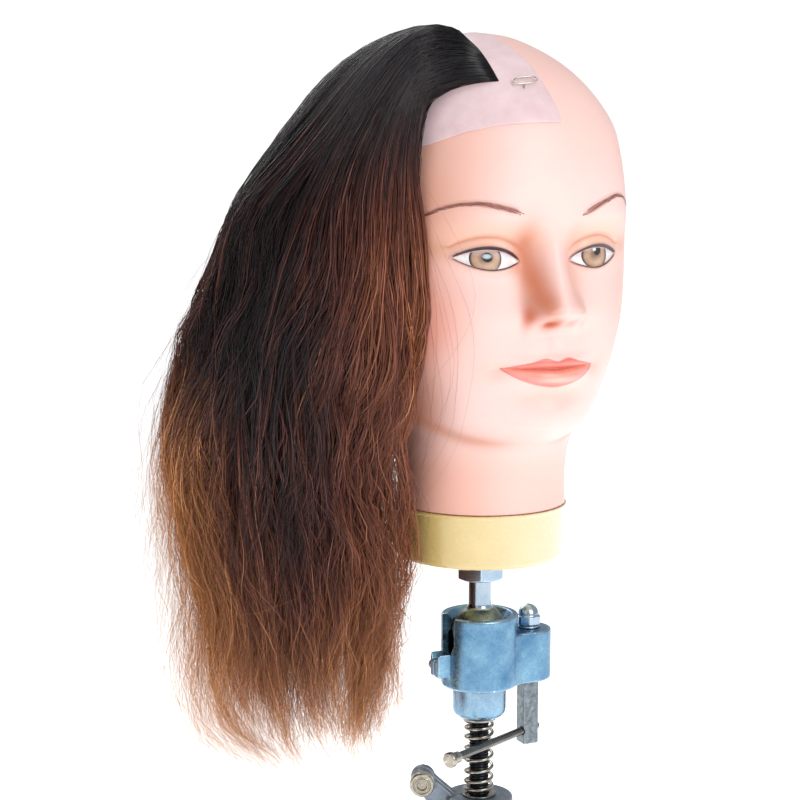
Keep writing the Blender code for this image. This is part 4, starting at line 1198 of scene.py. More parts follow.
# Places are (x, z); the pupil's is from the iris, the light's from the pupil.
Eye = namedtuple("Eye", "side name iris iris_radii pupil pupil_radius light light_radii "
                        "light_core light_middle brow")
EYES = (
    Eye(side=-1, name="right", iris=(-32.2, 339.0), iris_radii=(7.3, 7.3),
        pupil=(0.6, 0.6), pupil_radius=2.4, light=(-0.2, 0.5), light_radii=(2.3, 1.35),
        light_core=(206, 222, 230), light_middle=(168, 190, 202),
        brow=[(18.8, 361.8), (24, 363.2), (31, 365.0), (38, 366.0), (44, 365.8), (50, 364.2),
              (55, 361.6), (59, 358.6)]),
    Eye(side=1, name="left", iris=(28.4, 339.6), iris_radii=(1.16 * 7.3, 7.3),
        pupil=(1.2, 2.2), pupil_radius=2.7, light=(-2.2, 0.5), light_radii=(1.5, 1.1),
        light_core=(246, 250, 252), light_middle=(226, 232, 238),
        brow=[(16.0, 360.9), (22, 363.2), (29, 366.0), (36, 368.2), (42, 369.2), (48, 368.4),
              (53, 366.2), (57.5, 363.0)]),
)


def lid_x(eye, across):
    shift = EYE_SHIFT if eye.side > 0 else 0.0
    return eye.side * (EYE_IN[0] + EYE_WIDTH * across - shift)


def eye_white(eye):
    columns, rows = 61, 25
    across = np.linspace(0, 1, columns)
    upper, lower = lids(across)
    rise = np.repeat(np.linspace(0, 1, rows)[None, :], columns, 0)
    x = np.repeat(lid_x(eye, across)[:, None], rows, 1)
    points = np.stack([x, lower[:, None] + (upper - lower)[:, None] * rise], -1)
    across = np.repeat(across[:, None], rows, 1)
    # painted shade: the white darkens toward the upper lid and a little toward the lower lid
    colours = colour_ramp([(0, (236, 226, 226)), (0.5, (250, 248, 248)),
                           (0.82, (222, 214, 222)), (1, (176, 160, 172))], rise)
    colours = mix_in(colours, smooth(0.10, 0.0, across), (238, 178, 168))
    # painted shade in the outer corner
    colours = mix_in(colours, 0.5 * smooth(0.86, 1.0, across), (206, 176, 184))
    sheet("eye_white_" + eye.name, points, colours, EYE, lift=0.16)


def iris(eye):
    """Fibred iris clipped to the lids, grey above with painted reflection and lid shade, paler
    below.
    """
    points, share, angle = disc(eye.iris, eye.iris_radii, rings=22, spokes=96)
    x = points[..., 0]
    upper, lower = lids(eye_across(x))
    z = np.clip(points[..., 1], lower + 0.25, upper - 0.25)
    fibres = 0.5 + 0.5 * np.sin(angle * 37 + 2.0 * np.sin(angle * 5)) * np.sin(angle * 23 + 1.3)
    colours = colour_ramp([
        (0, (96, 74, 66)), (0.34, (150, 118, 100)), (0.55, (196, 160, 132)),
        (0.80, (186, 148, 122)), (0.88, (140, 112, 100)), (0.94, (60, 50, 54)),
        (1.0, (44, 38, 44))], share)
    colours = colours * (0.84 + 0.26 * fibres * (share < 0.88))[..., None]
    # painted reflection and lid shade: grey over the top of the iris
    cool = 0.55 * smooth(0.0, 4.5, z - eye.iris[1]) * (1 - smooth(0.84, 0.92, share))
    colours = mix_in(colours, cool, (176, 176, 184))
    glow = 0.45 * bump(x, z, eye.iris[0] + 1.5, eye.iris[1] - 3.4, 3.0, 1.8)
    colours = mix_in(colours, glow, (232, 204, 178))
    sheet("iris_" + eye.name, np.stack([x, z], -1), np.clip(colours, 0, 1), EYE, lift=0.26,
          close=True)


def pupil_and_light(eye):
    pupil = (eye.iris[0] + eye.pupil[0], eye.iris[1] + eye.pupil[1])
    points, share, _ = disc(pupil, (eye.pupil_radius, eye.pupil_radius), rings=8, spokes=48)
    colours = colour_ramp([(0, (24, 22, 28)), (0.8, (28, 24, 28)), (1, (70, 56, 52))], share)
    sheet("pupil_" + eye.name, points, colours, EYE, lift=0.34, close=True)
    light = (pupil[0] + eye.light[0], pupil[1] + eye.light[1])
    points, share, _ = disc(light, eye.light_radii, rings=8, spokes=48)
    colours = colour_ramp([(0, eye.light_core), (0.7, eye.light_middle), (1, (96, 104, 112))],
                          share)
    sheet("catch_light_" + eye.name, points, colours, EYE, lift=0.42, close=True)


def liners(eye):
    across = np.linspace(-0.015, 1.02, 70)
    upper, lower = lids(across)
    x = lid_x(eye, across)
    inside = np.clip(across, 0, 1)
    swell = np.sin(math.pi * inside) ** 0.6
    soft_strip("upper_liner_" + eye.name, np.stack([x, upper + 0.18], -1),
               0.65 + 1.75 * swell + 0.65 * inside, (52, 26, 40), lift=0.40, edge=0.26)
    soft_strip("lower_liner_" + eye.name, np.stack([x, lower - 0.10], -1),
               0.45 + 0.42 * swell, (74, 62, 66), lift=0.38, edge=0.25)


brow_random = np.random.default_rng(11)


def brow(eye):
    """A tapering painted arch with fine hairs over it."""
    arch = np.array(eye.brow)
    t = np.linspace(0, 1, 80)
    knots = np.linspace(0, 1, len(arch))
    arch_x, arch_z = np.interp(t, knots, arch[:, 0]), np.interp(t, knots, arch[:, 1])
    for _ in range(3):
        arch_z[1:-1] = (arch_z[:-2] + 2 * arch_z[1:-1] + arch_z[2:]) / 4
    width = np.interp(t, [0, 0.12, 0.35, 0.7, 1], [3.2, 5.2, 4.4, 2.7, 1.3])
    soft_strip("brow_" + eye.name, np.stack([eye.side * arch_x, arch_z], -1), width,
               (150, 88, 78), lift=0.14, edge=0.46, columns=11,
               strength=np.interp(t, [0, 0.1, 0.5, 1], [0.55, 0.9, 1.0, 0.85]))

    draw = brow_random.random
    hairs = 46
    verts, faces = [], []
    for k in range(hairs):
        share = (k + draw()) / hairs
        j = min(79, int(share * 79))
        x, z = eye.side * arch_x[j], arch_z[j] + (draw() - 0.5) * width[j] * 0.55
        length = 2.2 + 1.6 * draw()
        slope_x = eye.side * (0.93 + 0.07 * draw())
        slope_z = (np.interp(share, [0, 0.3, 0.7, 1], [0.55, 0.34, 0.02, -0.38])
                   + 0.12 * (draw() - 0.5))
        for i in range(5):
            along = i / 4
            half = 0.17 * (1 - along) + 0.02
            hair_x = x + slope_x * length * (along - 0.5)
            hair_z = z + slope_z * length * (along - 0.5)
            if i < 4:
                first = len(verts)
                faces.append((first, first + 2, first + 3, first + 1))
            for sign in (-1, 1):
                verts.append(tuple(project(hair_x, hair_z + sign * half, 0.24) * MM))
    mesh = bpy.data.meshes.new("brow_hairs_" + eye.name)
    mesh.from_pydata(verts, [], faces)
    paint(mesh, np.tile(rgb(128, 70, 62), (len(verts), 1)))
    obj = link_object(mesh.name, mesh, PAINT)
    thicken(obj, PAINT_THICKNESS, offset=0)
    bake(obj)
    mount(obj, "head", "skin")


for eye in EYES:
    eye_white(eye)
    iris(eye)
    pupil_and_light(eye)
    liners(eye)
    brow(eye)


def painted_lips():
    half_width, columns, rows = 25.8, 97, 37
    seam_row = 0.56             # share of the rows below the mouth line
    across = np.linspace(-1, 1, columns)
    side = np.abs(across)
    seam = 284.4 + 0.5 * side ** 2 - 0.5 * np.exp(-(across / 0.22) ** 2)
    upper = (seam + (1 - side ** 1.8) * 5.0 + 1.1 * gauss(side, 0.26, 0.17)
             - 0.35 * np.exp(-(across / 0.10) ** 2))
    upper = np.maximum(upper, seam + 0.25)[:, None]
    lower = (seam - (1 - side ** 2.1) ** 0.85 * 8.5 - 0.2)[:, None]
    seam = seam[:, None]
    rise = np.repeat(np.linspace(0, 1, rows)[None, :], columns, 0)
    x = np.repeat(half_width * across[:, None], rows, 1)
    z = np.where(rise < seam_row, lower + (seam - lower) * (rise / seam_row),
                 seam + (upper - seam) * ((rise - seam_row) / 0.44))
    colours = colour_ramp([
        (0.0, (244, 178, 156)), (0.05, (230, 132, 128)), (0.20, (242, 150, 142)),
        (0.42, (248, 168, 150)), (0.53, (242, 146, 128)), (0.56, (212, 106, 90)),
        (0.60, (238, 134, 118)), (0.80, (240, 138, 126)), (0.95, (234, 112, 104)),
        (1.0, (244, 178, 160))], rise)
    lines = 0.5 + 0.5 * np.sin(x * 3.1 + 1.4 * np.sin(x * 0.9)) * np.sin(x * 1.7 + 0.6)
    colours = colours * (0.95 + 0.07 * lines[..., None])
    corners = np.repeat((smooth(0.93, 1.0, side) * 0.6)[:, None], rows, 1)
    colours = mix_in(colours, corners, (196, 110, 92))
    # painted highlight on the lower lip
    colours = mix_in(colours, 0.55 * bump(x, z, 1.5, 279.2, 8.0, 1.0), (255, 214, 200))
    sheet("painted_lips", np.stack([x, z], -1), np.clip(colours, 0, 1), LIP, lift=0.18)


painted_lips()

# ---- Scalp film: slices across X, each running from the forehead over the crown
FILM_COLUMNS, FILM_ROWS = 60, 150
FILM_RIGHT_X, FILM_END, FILM_LIFT = -60.0, math.radians(128), 0.75
# lower edge: x, z
FILM_LOW_X = [-64, -56, -40.8, -28, -13.5, 5.6, 8]
FILM_LOW_Z = [391.0, 393.3, 400.2, 403.2, 404.7, 405.1, 405.1]
# left edge: angle up from the front, x
FILM_LEFT_ANGLE = np.radians([36.0, 46, 55, 66, 78, 90, 110, 132])
FILM_LEFT_X = [5.6, 2.4, 0.9, -2.4, -4.0, -5.4, -6.2, -6.6]


def slice_hit(x, angle):
    """Scalp point and normal, seen from inside the head at an angle up from -Y."""
    origin = Vector((x, 10, 350)) * MM
    ray = Vector((0, -math.cos(angle), math.sin(angle)))
    hit, normal, _, _ = HEAD_TREE.ray_cast(origin, ray)
    if hit is None:
        hit, normal = origin + ray * 0.05, ray
    if normal.dot(ray) < 0:
        normal = -normal
    return hit / MM, normal


@lru_cache(maxsize=None)
def film_start(x):
    """Angle at which a slice meets the film's lower edge, by bisection."""
    z = np.interp(x, FILM_LOW_X, FILM_LOW_Z)
    low, high = math.radians(5), math.radians(85)
    for _ in range(22):
        middle = (low + high) / 2
        if slice_hit(x, middle)[0].z < z:
            low = middle
        else:
            high = middle
    return (low + high) / 2


def film_point(across, along):
    def slice_x(angle):
        left = np.interp(angle, FILM_LEFT_ANGLE, FILM_LEFT_X)
        return left * (1 - across) + FILM_RIGHT_X * across

    # a first guess of the slice's x gives its own start angle
    guess = math.radians(40)
    x = slice_x(guess + (FILM_END - guess) * along)
    near = round(x * 2) / 2
    stations = [near - 0.5, near, near + 0.5]
    start = np.interp(x, stations, [film_start(s) for s in stations])
    angle = start + (FILM_END - start) * along
    hit, normal = slice_hit(slice_x(angle), angle)
    return hit + normal * FILM_LIFT


def scalp_film():
    verts = np.array([[film_point(i / (FILM_COLUMNS - 1), j / (FILM_ROWS - 1))
                       for j in range(FILM_ROWS)] for i in range(FILM_COLUMNS)], float)
    faces = []
    for i in range(FILM_COLUMNS - 1):
        for j in range(FILM_ROWS - 1):
            k = i * FILM_ROWS + j
            faces.append((k, k + 1, k + FILM_ROWS + 1, k + FILM_ROWS))
    mesh = bpy.data.meshes.new("scalp_film_sheet")
    mesh.from_pydata((verts.reshape(-1, 3) * MM).tolist(), [], faces)
    mesh.update()
    if mesh.polygons[len(mesh.polygons) // 2].normal.z < 0:
        mesh.flip_normals()
    film = link_object("scalp_film_sheet", mesh, FILM)
    thicken(film, 0.65)
    bevel = film.modifiers.new("bevel", "BEVEL")
    bevel.width = 0.18 * MM
    bevel.segments = 2
    bevel.limit_method = "ANGLE"
    bake(film)
    film.data.shade_smooth()
    mount(film, "head", "patch", "hairpiece_base")


scalp_film()

# ---- Wig pin on the film
PIN_CENTRE = Vector((-7.5, -60.2, 424.3))
PIN_OUT = Vector((-0.08, -0.62, 0.78)).normalized()
PIN_LONG = Vector((0.97, -0.10, 0.02)).normalized()
PIN_CROSS = PIN_OUT.cross(PIN_LONG).normalized()
PIN_LIFT, PIN_WIRE_R = 2.1, 0.42


def wire(name, path, material, closed=False):
    """Round wire along a path of points."""
    around, count = 10, len(path)
    reference = Vector((0.3, 0.2, 0.93))
    rings = []
    for i, point in enumerate(path):
        before = path[i - 1] if closed or i else path[0]
        after = path[(i + 1) % count] if closed or i < count - 1 else path[-1]
        tangent = (after - before).normalized()
        side = tangent.cross(reference).normalized()
        other = tangent.cross(side)
        angles = [2 * math.pi * k / around for k in range(around)]
        rings.append([(point + (side * math.cos(a) + other * math.sin(a)) * PIN_WIRE_R) * MM
                      for a in angles])
    return tube(name, rings, material, closed=closed)


def pin_point(angle):
    """Point on the pin's flattened oval loop."""
    cosine, sine = math.cos(angle), math.sin(angle)
    return (PIN_CENTRE + PIN_OUT * (PIN_LIFT + 0.5 * cosine)
            + PIN_LONG * 6.4 * math.copysign(abs(cosine) ** 0.8, cosine)
            + PIN_CROSS * (2.6 * math.copysign(abs(sine) ** 0.9, sine) + 0.5 * cosine))


mount(wire("pin_wire", [pin_point(2 * math.pi * i / 72) for i in range(72)], NICKEL, closed=True),
      "head", "steel", "wig_pin")
mount(wire("pin_prong", [
    PIN_CENTRE + PIN_OUT * (PIN_LIFT - 0.35 * k) - PIN_LONG * (1.0 + 0.08 * k)
    - PIN_CROSS * (2.5 + 0.45 * k) for k in range(5)], BAR_STEEL), "head", "steel")

# ---- Hair
# Every strand follows the scalp from its root, then hangs.  A strand is known by
# `around` (0 at the face .. 1 at the back of the head), `layer` (0 inner .. 1 outer),
# `root` (0 at the part .. 1 low on the scalp) and the height of its tip.
VIEW_TURN = math.radians(-24.0)     # the camera's turn about Z away from straight ahead
LEFT = np.array([-math.cos(VIEW_TURN), -math.sin(VIEW_TURN), 0.0])      # camera's left
DEPTH = np.array([-math.sin(VIEW_TURN), math.cos(VIEW_TURN), 0.0])      # away from the camera

# Outline of the hanging hair: z, its near and far edge along LEFT,
# its front and back edge along DEPTH.
HANG_Z, HANG_NEAR, HANG_FAR, HANG_FRONT, HANG_BACK = np.array([
    (30, 57, 102, -14, 34), (49, 53, 110, -16, 44), (62, 50, 120, -18, 50),
    (67, 50, 134, -20, 54), (78, 49, 141, -26, 58), (89, 47, 146, -30, 62),
    (117, 43, 150, -34, 68), (149, 41, 151, -37, 74), (176, 40, 160, -38, 78),
    (181, 40, 162, -38, 78), (203, 43, 168, -39, 80), (231, 38, 173, -48, 82),
    (251, 34, 171, -56, 84), (282, 31, 162, -64, 86), (298, 30, 162, -67, 88),
    (316, 29, 149, -69, 90), (343, 28, 142, -71, 92), (363, 28, 140, -71, 94),
    (390, 31, 130, -70, 94),
]).T


def hang_points(around, layer, z):
    """Where strands hang at heights z."""
    near, far, front, back = (np.interp(z, HANG_Z, edge)
                              for edge in (HANG_NEAR, HANG_FAR, HANG_FRONT, HANG_BACK))
    half_width, half_depth = (far - near) / 1.67, (back - front) / 1.74
    mid_depth = front + 0.74 * half_depth
    angle = np.radians(228 + 250 * around)
    edge_left = far - half_width + half_width * np.cos(angle)
    edge_depth = mid_depth + half_depth * np.sin(angle)
    core_left, core_depth = near + 0.30 * (far - near), mid_depth + 0.15 * half_depth
    reach = 0.30 + 0.70 * layer
    stay = smooth(0.16, 0.0, around)        # the front edge stays put at every layer
    reach = reach * (1 - stay) + (0.55 + 0.45 * layer) * stay
    left = core_left + (edge_left - core_left) * reach
    depth = core_depth + (edge_depth - core_depth) * reach
    points = left[..., None] * LEFT + depth[..., None] * DEPTH
    points[..., 2] = z
    return points


# The part runs back over the top of the head.
PART_Y = np.linspace(-56.0, 62.0, 60)
PART_X = -19.3 + 3.5 * smooth(-56, -5, PART_Y) + 1.5 * smooth(0, 60, PART_Y)
PART_Z = np.array([
    HEAD_TREE.ray_cast(Vector((x, y, 520)) * MM, Vector((0, 0, -1)))[0].z / MM
    for x, y in zip(PART_X, PART_Y)])


def unit(vectors, tiny=1e-9):
    return vectors / (np.linalg.norm(vectors, axis=-1, keepdims=True) + tiny)


def scalp_path(around, along, layer, root):
    """Combed over the scalp from the part or the hairline, back and down."""
    face_hair = smooth(0.28, 0.0, around)
    top = 19.78 + 3.5 * smooth(0.0, 0.34, around)
    fall = along ** 1.15
    fall_front = (0.055 * np.clip(along / 0.17, 0, 1)
                  + 0.945 * (np.clip(along - 0.10, 0, 1) / 0.90) ** 1.12)
    level = top - (top - 12.6) * (fall * (1 - face_hair) + fall_front * face_hair)
    angle = -np.radians(24 + 128 * around
                        + 29 * smooth(0.0, 0.17, along) * (1 - around) ** 2.2)
    points = np.stack(skull(level, angle), -1)
    part_y = -56.0 + 112.0 * np.clip(around, 0, 1) ** 0.95
    start = np.stack([np.interp(part_y, PART_Y, PART_X), part_y,
                      np.interp(part_y, PART_Y, PART_Z)], -1)
    leave = smooth(0.0, 0.22, along)[..., None]
    points = start * (1 - leave) + points * leave
    outward = unit(points - np.array([0, 12, 350]), tiny=0)
    grown = along - root
    body = np.sin(math.pi * np.clip(0.16 + 0.66 * around, 0, 1))
    full = 1.2 + layer * (4.0 + 33.0 * along ** 0.95 * body)
    lift = 0.3 + (full - 0.3) * smooth(0.0, 0.16, grown)
    # clears the ear
    lift = lift + (6.5 * spot(points[..., 2], points[..., 1], 340, 20, 26, 24)
                   * smooth(0, 0.1, grown))
    return points + outward * lift[..., None]


SCALP_STEPS, HANG_STEPS = 25, 39


def strand_points(around, layer, root, tip_z):
    """Raw paths, (strands, steps, 3)."""
    def repeat(values, steps):
        return np.repeat(values[:, None], steps, 1)

    along = root[:, None] + (1 - root[:, None]) * np.linspace(0, 1, SCALP_STEPS)[None, :]
    scalp = scalp_path(repeat(around, SCALP_STEPS), along, repeat(layer, SCALP_STEPS),
                       repeat(root, SCALP_STEPS))
    end = scalp[:, -1]
    heading = unit(scalp[:, -1] - scalp[:, -3], tiny=0)
    share = np.linspace(0, 1, HANG_STEPS + 1)[1:]
    z = end[:, 2:3] + (tip_z[:, None] - end[:, 2:3]) * share[None, :]
    target = hang_points(repeat(around, HANG_STEPS), repeat(layer, HANG_STEPS), z)
    # leaves the scalp on its own heading, then eases to where it hangs
    free = np.repeat(end[:, None, :], HANG_STEPS, 1)
    drop = end[:, 2:3] - z
    slope = np.clip(heading[:, :2] / np.maximum(-heading[:, 2:3], 0.35), -0.9, 0.9)
    carry = 42 * (1 - np.exp(-drop / 42))
    free[..., :2] += slope[:, None, :] * carry[..., None]
    free[..., 2] = z
    ease = smooth(0, 120, drop)[..., None]
    points = np.concatenate([scalp, free * (1 - ease) + target * ease], 1)
    # the outer hair swells away from the head well above the ear
    steps = SCALP_STEPS + HANG_STEPS
    target = hang_points(repeat(around, steps), repeat(layer, steps), points[..., 2])
    grow = np.concatenate([smooth(0.10, 0.62, along), np.ones((len(around), HANG_STEPS))], 1)
    swell = 0.92 * smooth(430, 340, points[..., 2]) * grow * smooth(0.05, 0.65, layer)[:, None]
    return points * (1 - swell[..., None]) + target * swell[..., None]


def arc_length(paths):
    steps = np.linalg.norm(np.diff(paths, axis=1), axis=2)
    return np.concatenate([np.zeros((len(paths), 1)), np.cumsum(steps, 1)], 1)


def strands_through(around, layer, root, tip_z, count):
    """Strand paths resampled to `count` evenly spaced points."""
    paths = strand_points(around, layer, root, tip_z)
    arc = arc_length(paths)
    even = np.zeros((len(paths), count, 3))
    share = np.linspace(0, 1, count)
    for i in range(len(paths)):
        for k in range(3):
            even[i, :, k] = np.interp(share * arc[i, -1], arc[i], paths[i, :, k])
    return even


# Large lobes that the strand ends gather into.
LOBES = 34
lobe_random = np.random.default_rng(31)
LOBE_AROUND = np.clip(np.linspace(0.0, 0.98, LOBES) + 0.012 * lobe_random.normal(0, 1, LOBES),
                      0.0, 0.99)
LOBE_LAYER = np.where(np.arange(LOBES) % 2 == 0, 0.94, 0.60) + 0.05 * lobe_random.random(LOBES)
LOBE_Z = 48 + 74 * lobe_random.random(LOBES)
LOBE_WAVE = 125 + 60 * lobe_random.random(LOBES)
LOBE_PHASE = 2 * math.pi * lobe_random.random(LOBES)


def make_strands(n, seed, stray_share, thickness, wisp):
    """Paths, radii and bleaching (0 dark .. 1 gold) of one layer of hair."""
    random = np.random.default_rng(seed)
    clumps, count = 150, 38

    def draw():
        return random.random((n, 1))

    # where each strand grows
    around = random.random(n) ** 0.92
    around = np.where(random.random(n) < 0.10, around * 0.16, around)
    from_part = random.random(n) < 0.52
    root = np.where(from_part, random.random(n) * 0.035, 0.04 + random.random(n) ** 1.2 * 0.70)
    layer = np.clip(1.0 - 0.95 * root / 0.74 - 0.42 * random.random(n) ** 1.6, 0.02, 1.0)
    if wisp:
        around = 0.02 + 0.78 * random.random(n)
        layer = 0.62 + 0.38 * random.random(n)
        root = random.random(n) * 0.30
    lobe = np.argmin((around[:, None] - LOBE_AROUND[None]) ** 2 * 9
                     + (layer[:, None] - LOBE_LAYER[None]) ** 2, 1)
    tip_z = (LOBE_Z[lobe] + np.abs(random.normal(0, 24, n))
             + 80 * (random.random(n) < 0.30) * random.random(n))
    if wisp:
        tip_z = np.where(random.random(n) < 0.58, 38 + np.abs(random.normal(0, 30, n)),
                         90 + 150 * random.random(n))

    # pull toward the nearest clump, then toward the lobe
    clump_around, clump_layer = random.random(clumps) ** 0.92, random.random(clumps)
    clump_layer[:clumps // 2] = 1 - 0.3 * clump_layer[:clumps // 2]
    near = np.argmin((around[:, None] - clump_around[None]) ** 2 * 6
                     + (layer[:, None] - clump_layer[None]) ** 2, 1)
    paths = strands_through(around, layer, root, tip_z, count)
    gathered = strands_through(clump_around[near], np.clip(clump_layer[near], 0.02, 1),
                               root * 0.5, 66 + 0.35 * (tip_z - 66), count)
    share = np.linspace(0, 1, count)[None, :]
    pull = (0.62 * smooth(0.12, 0.62, share) * (1 - 0.42 * smooth(0.72, 1.0, share)))[..., None]
    paths = paths * (1 - pull) + gathered * pull
    if not wisp:
        gathered = strands_through(LOBE_AROUND[lobe], LOBE_LAYER[lobe], root * 0.5, tip_z, count)
        pull = (0.56 * smooth(0.55, 0.94, share))[..., None]
        paths = paths * (1 - pull) + gathered * pull

    # local frame: along, outward, sideways
    tangent = unit(np.gradient(paths, axis=1))
    outward = paths - np.array([0, 12, 0])
    outward[..., 2] = 0
    outward = unit(outward)
    sideways = unit(np.cross(tangent, outward))
    arc = arc_length(paths)

    # waves shared by a clump, then the roll of a lobe
    phase = (random.random((clumps, 4)) * 2 * math.pi)[near]
    wave = (72 + 56 * random.random(clumps))[near][:, None]
    size = 5.2 * smooth(60, 300, arc)
    turns = 2 * math.pi * arc
    sway = (np.sin(turns / wave + phase[:, :1])
            + 0.45 * np.sin(turns / (0.53 * wave) + phase[:, 1:2]))
    swell = np.sin(turns / (1.15 * wave) + phase[:, 2:3])
    paths = paths + sideways * (size * sway)[..., None] + outward * (0.75 * size * swell)[..., None]
    roll = np.sin(turns / LOBE_WAVE[lobe][:, None] + LOBE_PHASE[lobe][:, None])
    paths = paths + (4.6 * smooth(50, 210, arc) * roll)[..., None] * (sideways + 0.35 * outward)

    # frizz of the single strand
    frizz = (random.gamma(1.5, 0.62, (n, 1)) * (0.13 + 3.3 * smooth(0.46, 1.0, share) ** 1.3)
             * smooth(14, 90, arc))
    long_wave, short_wave = 42 + 48 * draw(), 27 + 20 * draw()
    phase_long, phase_short, phase_out = (draw() * 2 * math.pi for _ in range(3))
    curl = (np.sin(turns / long_wave + phase_long)
            + 0.22 * np.sin(turns / short_wave + phase_short))
    curl_out = 0.8 * frizz * np.sin(turns / (long_wave * 1.2) + phase_out)
    paths = paths + sideways * (frizz * curl)[..., None] + outward * curl_out[..., None]

    # strays swing away from the mass
    stray = (draw() < stray_share) * 1.0
    swing = random.normal(0, 1, (n, 1)) * 14 * smooth(0.25, 1.0, share) ** 1.4
    swing_out = np.abs(0.75 * swing + 4.0 * smooth(0.2, 0.8, share))
    paths = paths + stray[..., None] * (sideways * swing[..., None]
                                        + outward * swing_out[..., None])
    if wisp:
        push = (4 + 31 * draw() ** 1.25) * smooth(0.50, 1.0, share) ** 1.3
        push = push * (smooth(0.10, 0.42, around) - 0.45 * smooth(0.12, 0.0, around))[:, None]
        paths = paths + push[..., None] * LEFT

    # from the front: black heart, red-brown by the face, gold tips, and a gold rim along the far
    # edge that is painted light
    left, depth, z = paths @ LEFT, paths @ DEPTH, paths[..., 2]
    vary, vary_z = random.normal(0, 1, (n, 1)), random.normal(0, 1, (n, 1))
    lock = random.random(clumps)[near][:, None]
    far_side = (np.interp(left + 11 * vary, [98, 127, 148, 166], [0.0, 0.34, 0.64, 0.84])
                * smooth(292, 216, z + 20 * vary_z))
    # painted rim light: gold along the far edge of the hanging hair
    rim = (0.34 * smooth(-16, -2, left - np.interp(z, HANG_Z, HANG_FAR))
           * smooth(0.2, 0.4, share))
    by_face = (np.interp(left + 10 * vary, [40, 62, 84, 100], [0.54, 0.45, 0.22, 0.0])
               * smooth(426, 334, z + 16 * vary_z))
    low = np.interp(z + 18 * vary_z, [55, 92, 128, 150, 196], [0.85, 0.66, 0.42, 0.26, 0.0])
    front = 1 - (1 - far_side) * (1 - rim) * (1 - by_face) * (1 - low)
    # from behind: bleached from midway along the strand
    start = 0.44 + 0.09 * vary
    back = 0.12 + 0.88 * smooth(start, start + 0.44, share)
    behind = smooth(0, 44, depth)
    gold = front * (1 - behind) + back * 0.9 * behind
    gold = gold + 0.08 * draw() + (
        (0.26 * lock ** 2.4 + 0.17 * (draw() < 0.08)) * smooth(0.08, 0.34, share)
        * (1 - 0.7 * smooth(98, 62, left) * (1 - behind)))
    gold = np.clip(0.10 * lock + gold * smooth(0.0, 0.10, share), 0, 1)

    radius = np.interp(share, [0, 0.1, 0.5, 0.84, 1], [0.19, 0.28, 0.26, 0.14, 0.04])
    radius = radius * (0.75 + 0.5 * draw()) * (1 - 0.5 * stray) * thickness
    return paths, radius, gold


def keep_clear(paths, gap=1.0):
    """Pushes points out of the head, the neck cap and the stand."""
    flat = paths.reshape(-1, 3)
    near = (np.hypot(flat[:, 0], flat[:, 1] - 8) < 112) & (flat[:, 2] > 204)
    for i in np.nonzero(near)[0]:
        point = Vector(flat[i]) * MM
        surface, normal, _, _ = HEAD_TREE.find_nearest(point)
        if surface is not None and (point - surface).dot(normal) / MM < gap:
            flat[i] = np.array((surface + normal * gap * MM) / MM)
    low = flat[:, 2] <= 204
    radius = np.hypot(flat[:, 0], flat[:, 1]) + 1e-6
    need = np.where(flat[:, 2] > 168, 48.6, np.where(flat[:, 2] > 66, 46.0, 44.0))
    scale = np.where(low & (radius < need), need / radius, 1.0)
    flat[:, 0] *= scale
    flat[:, 1] *= scale
    return flat.reshape(paths.shape)


def inside_box(paths):
    """Eases points back within the CAD box and a margin, in x and y."""
    low, high = np.array(CAD_LOW) * 1000, np.array(CAD_HIGH) * 1000
    margin = 0.03 * (high - low) + 8.5
    zone, give = 12, 11         # width of the easing zone and how much of it is used
    low, high = low - margin + zone, high + margin - zone
    kept = paths.copy()
    for k in range(2):
        over = np.maximum(kept[..., k] - high[k], 0)
        kept[..., k] = np.where(over > 0, high[k] + give * np.tanh(over / give), kept[..., k])
        under = np.maximum(low[k] - kept[..., k], 0)
        kept[..., k] = np.where(under > 0, low[k] - give * np.tanh(under / give), kept[..., k])
    return kept


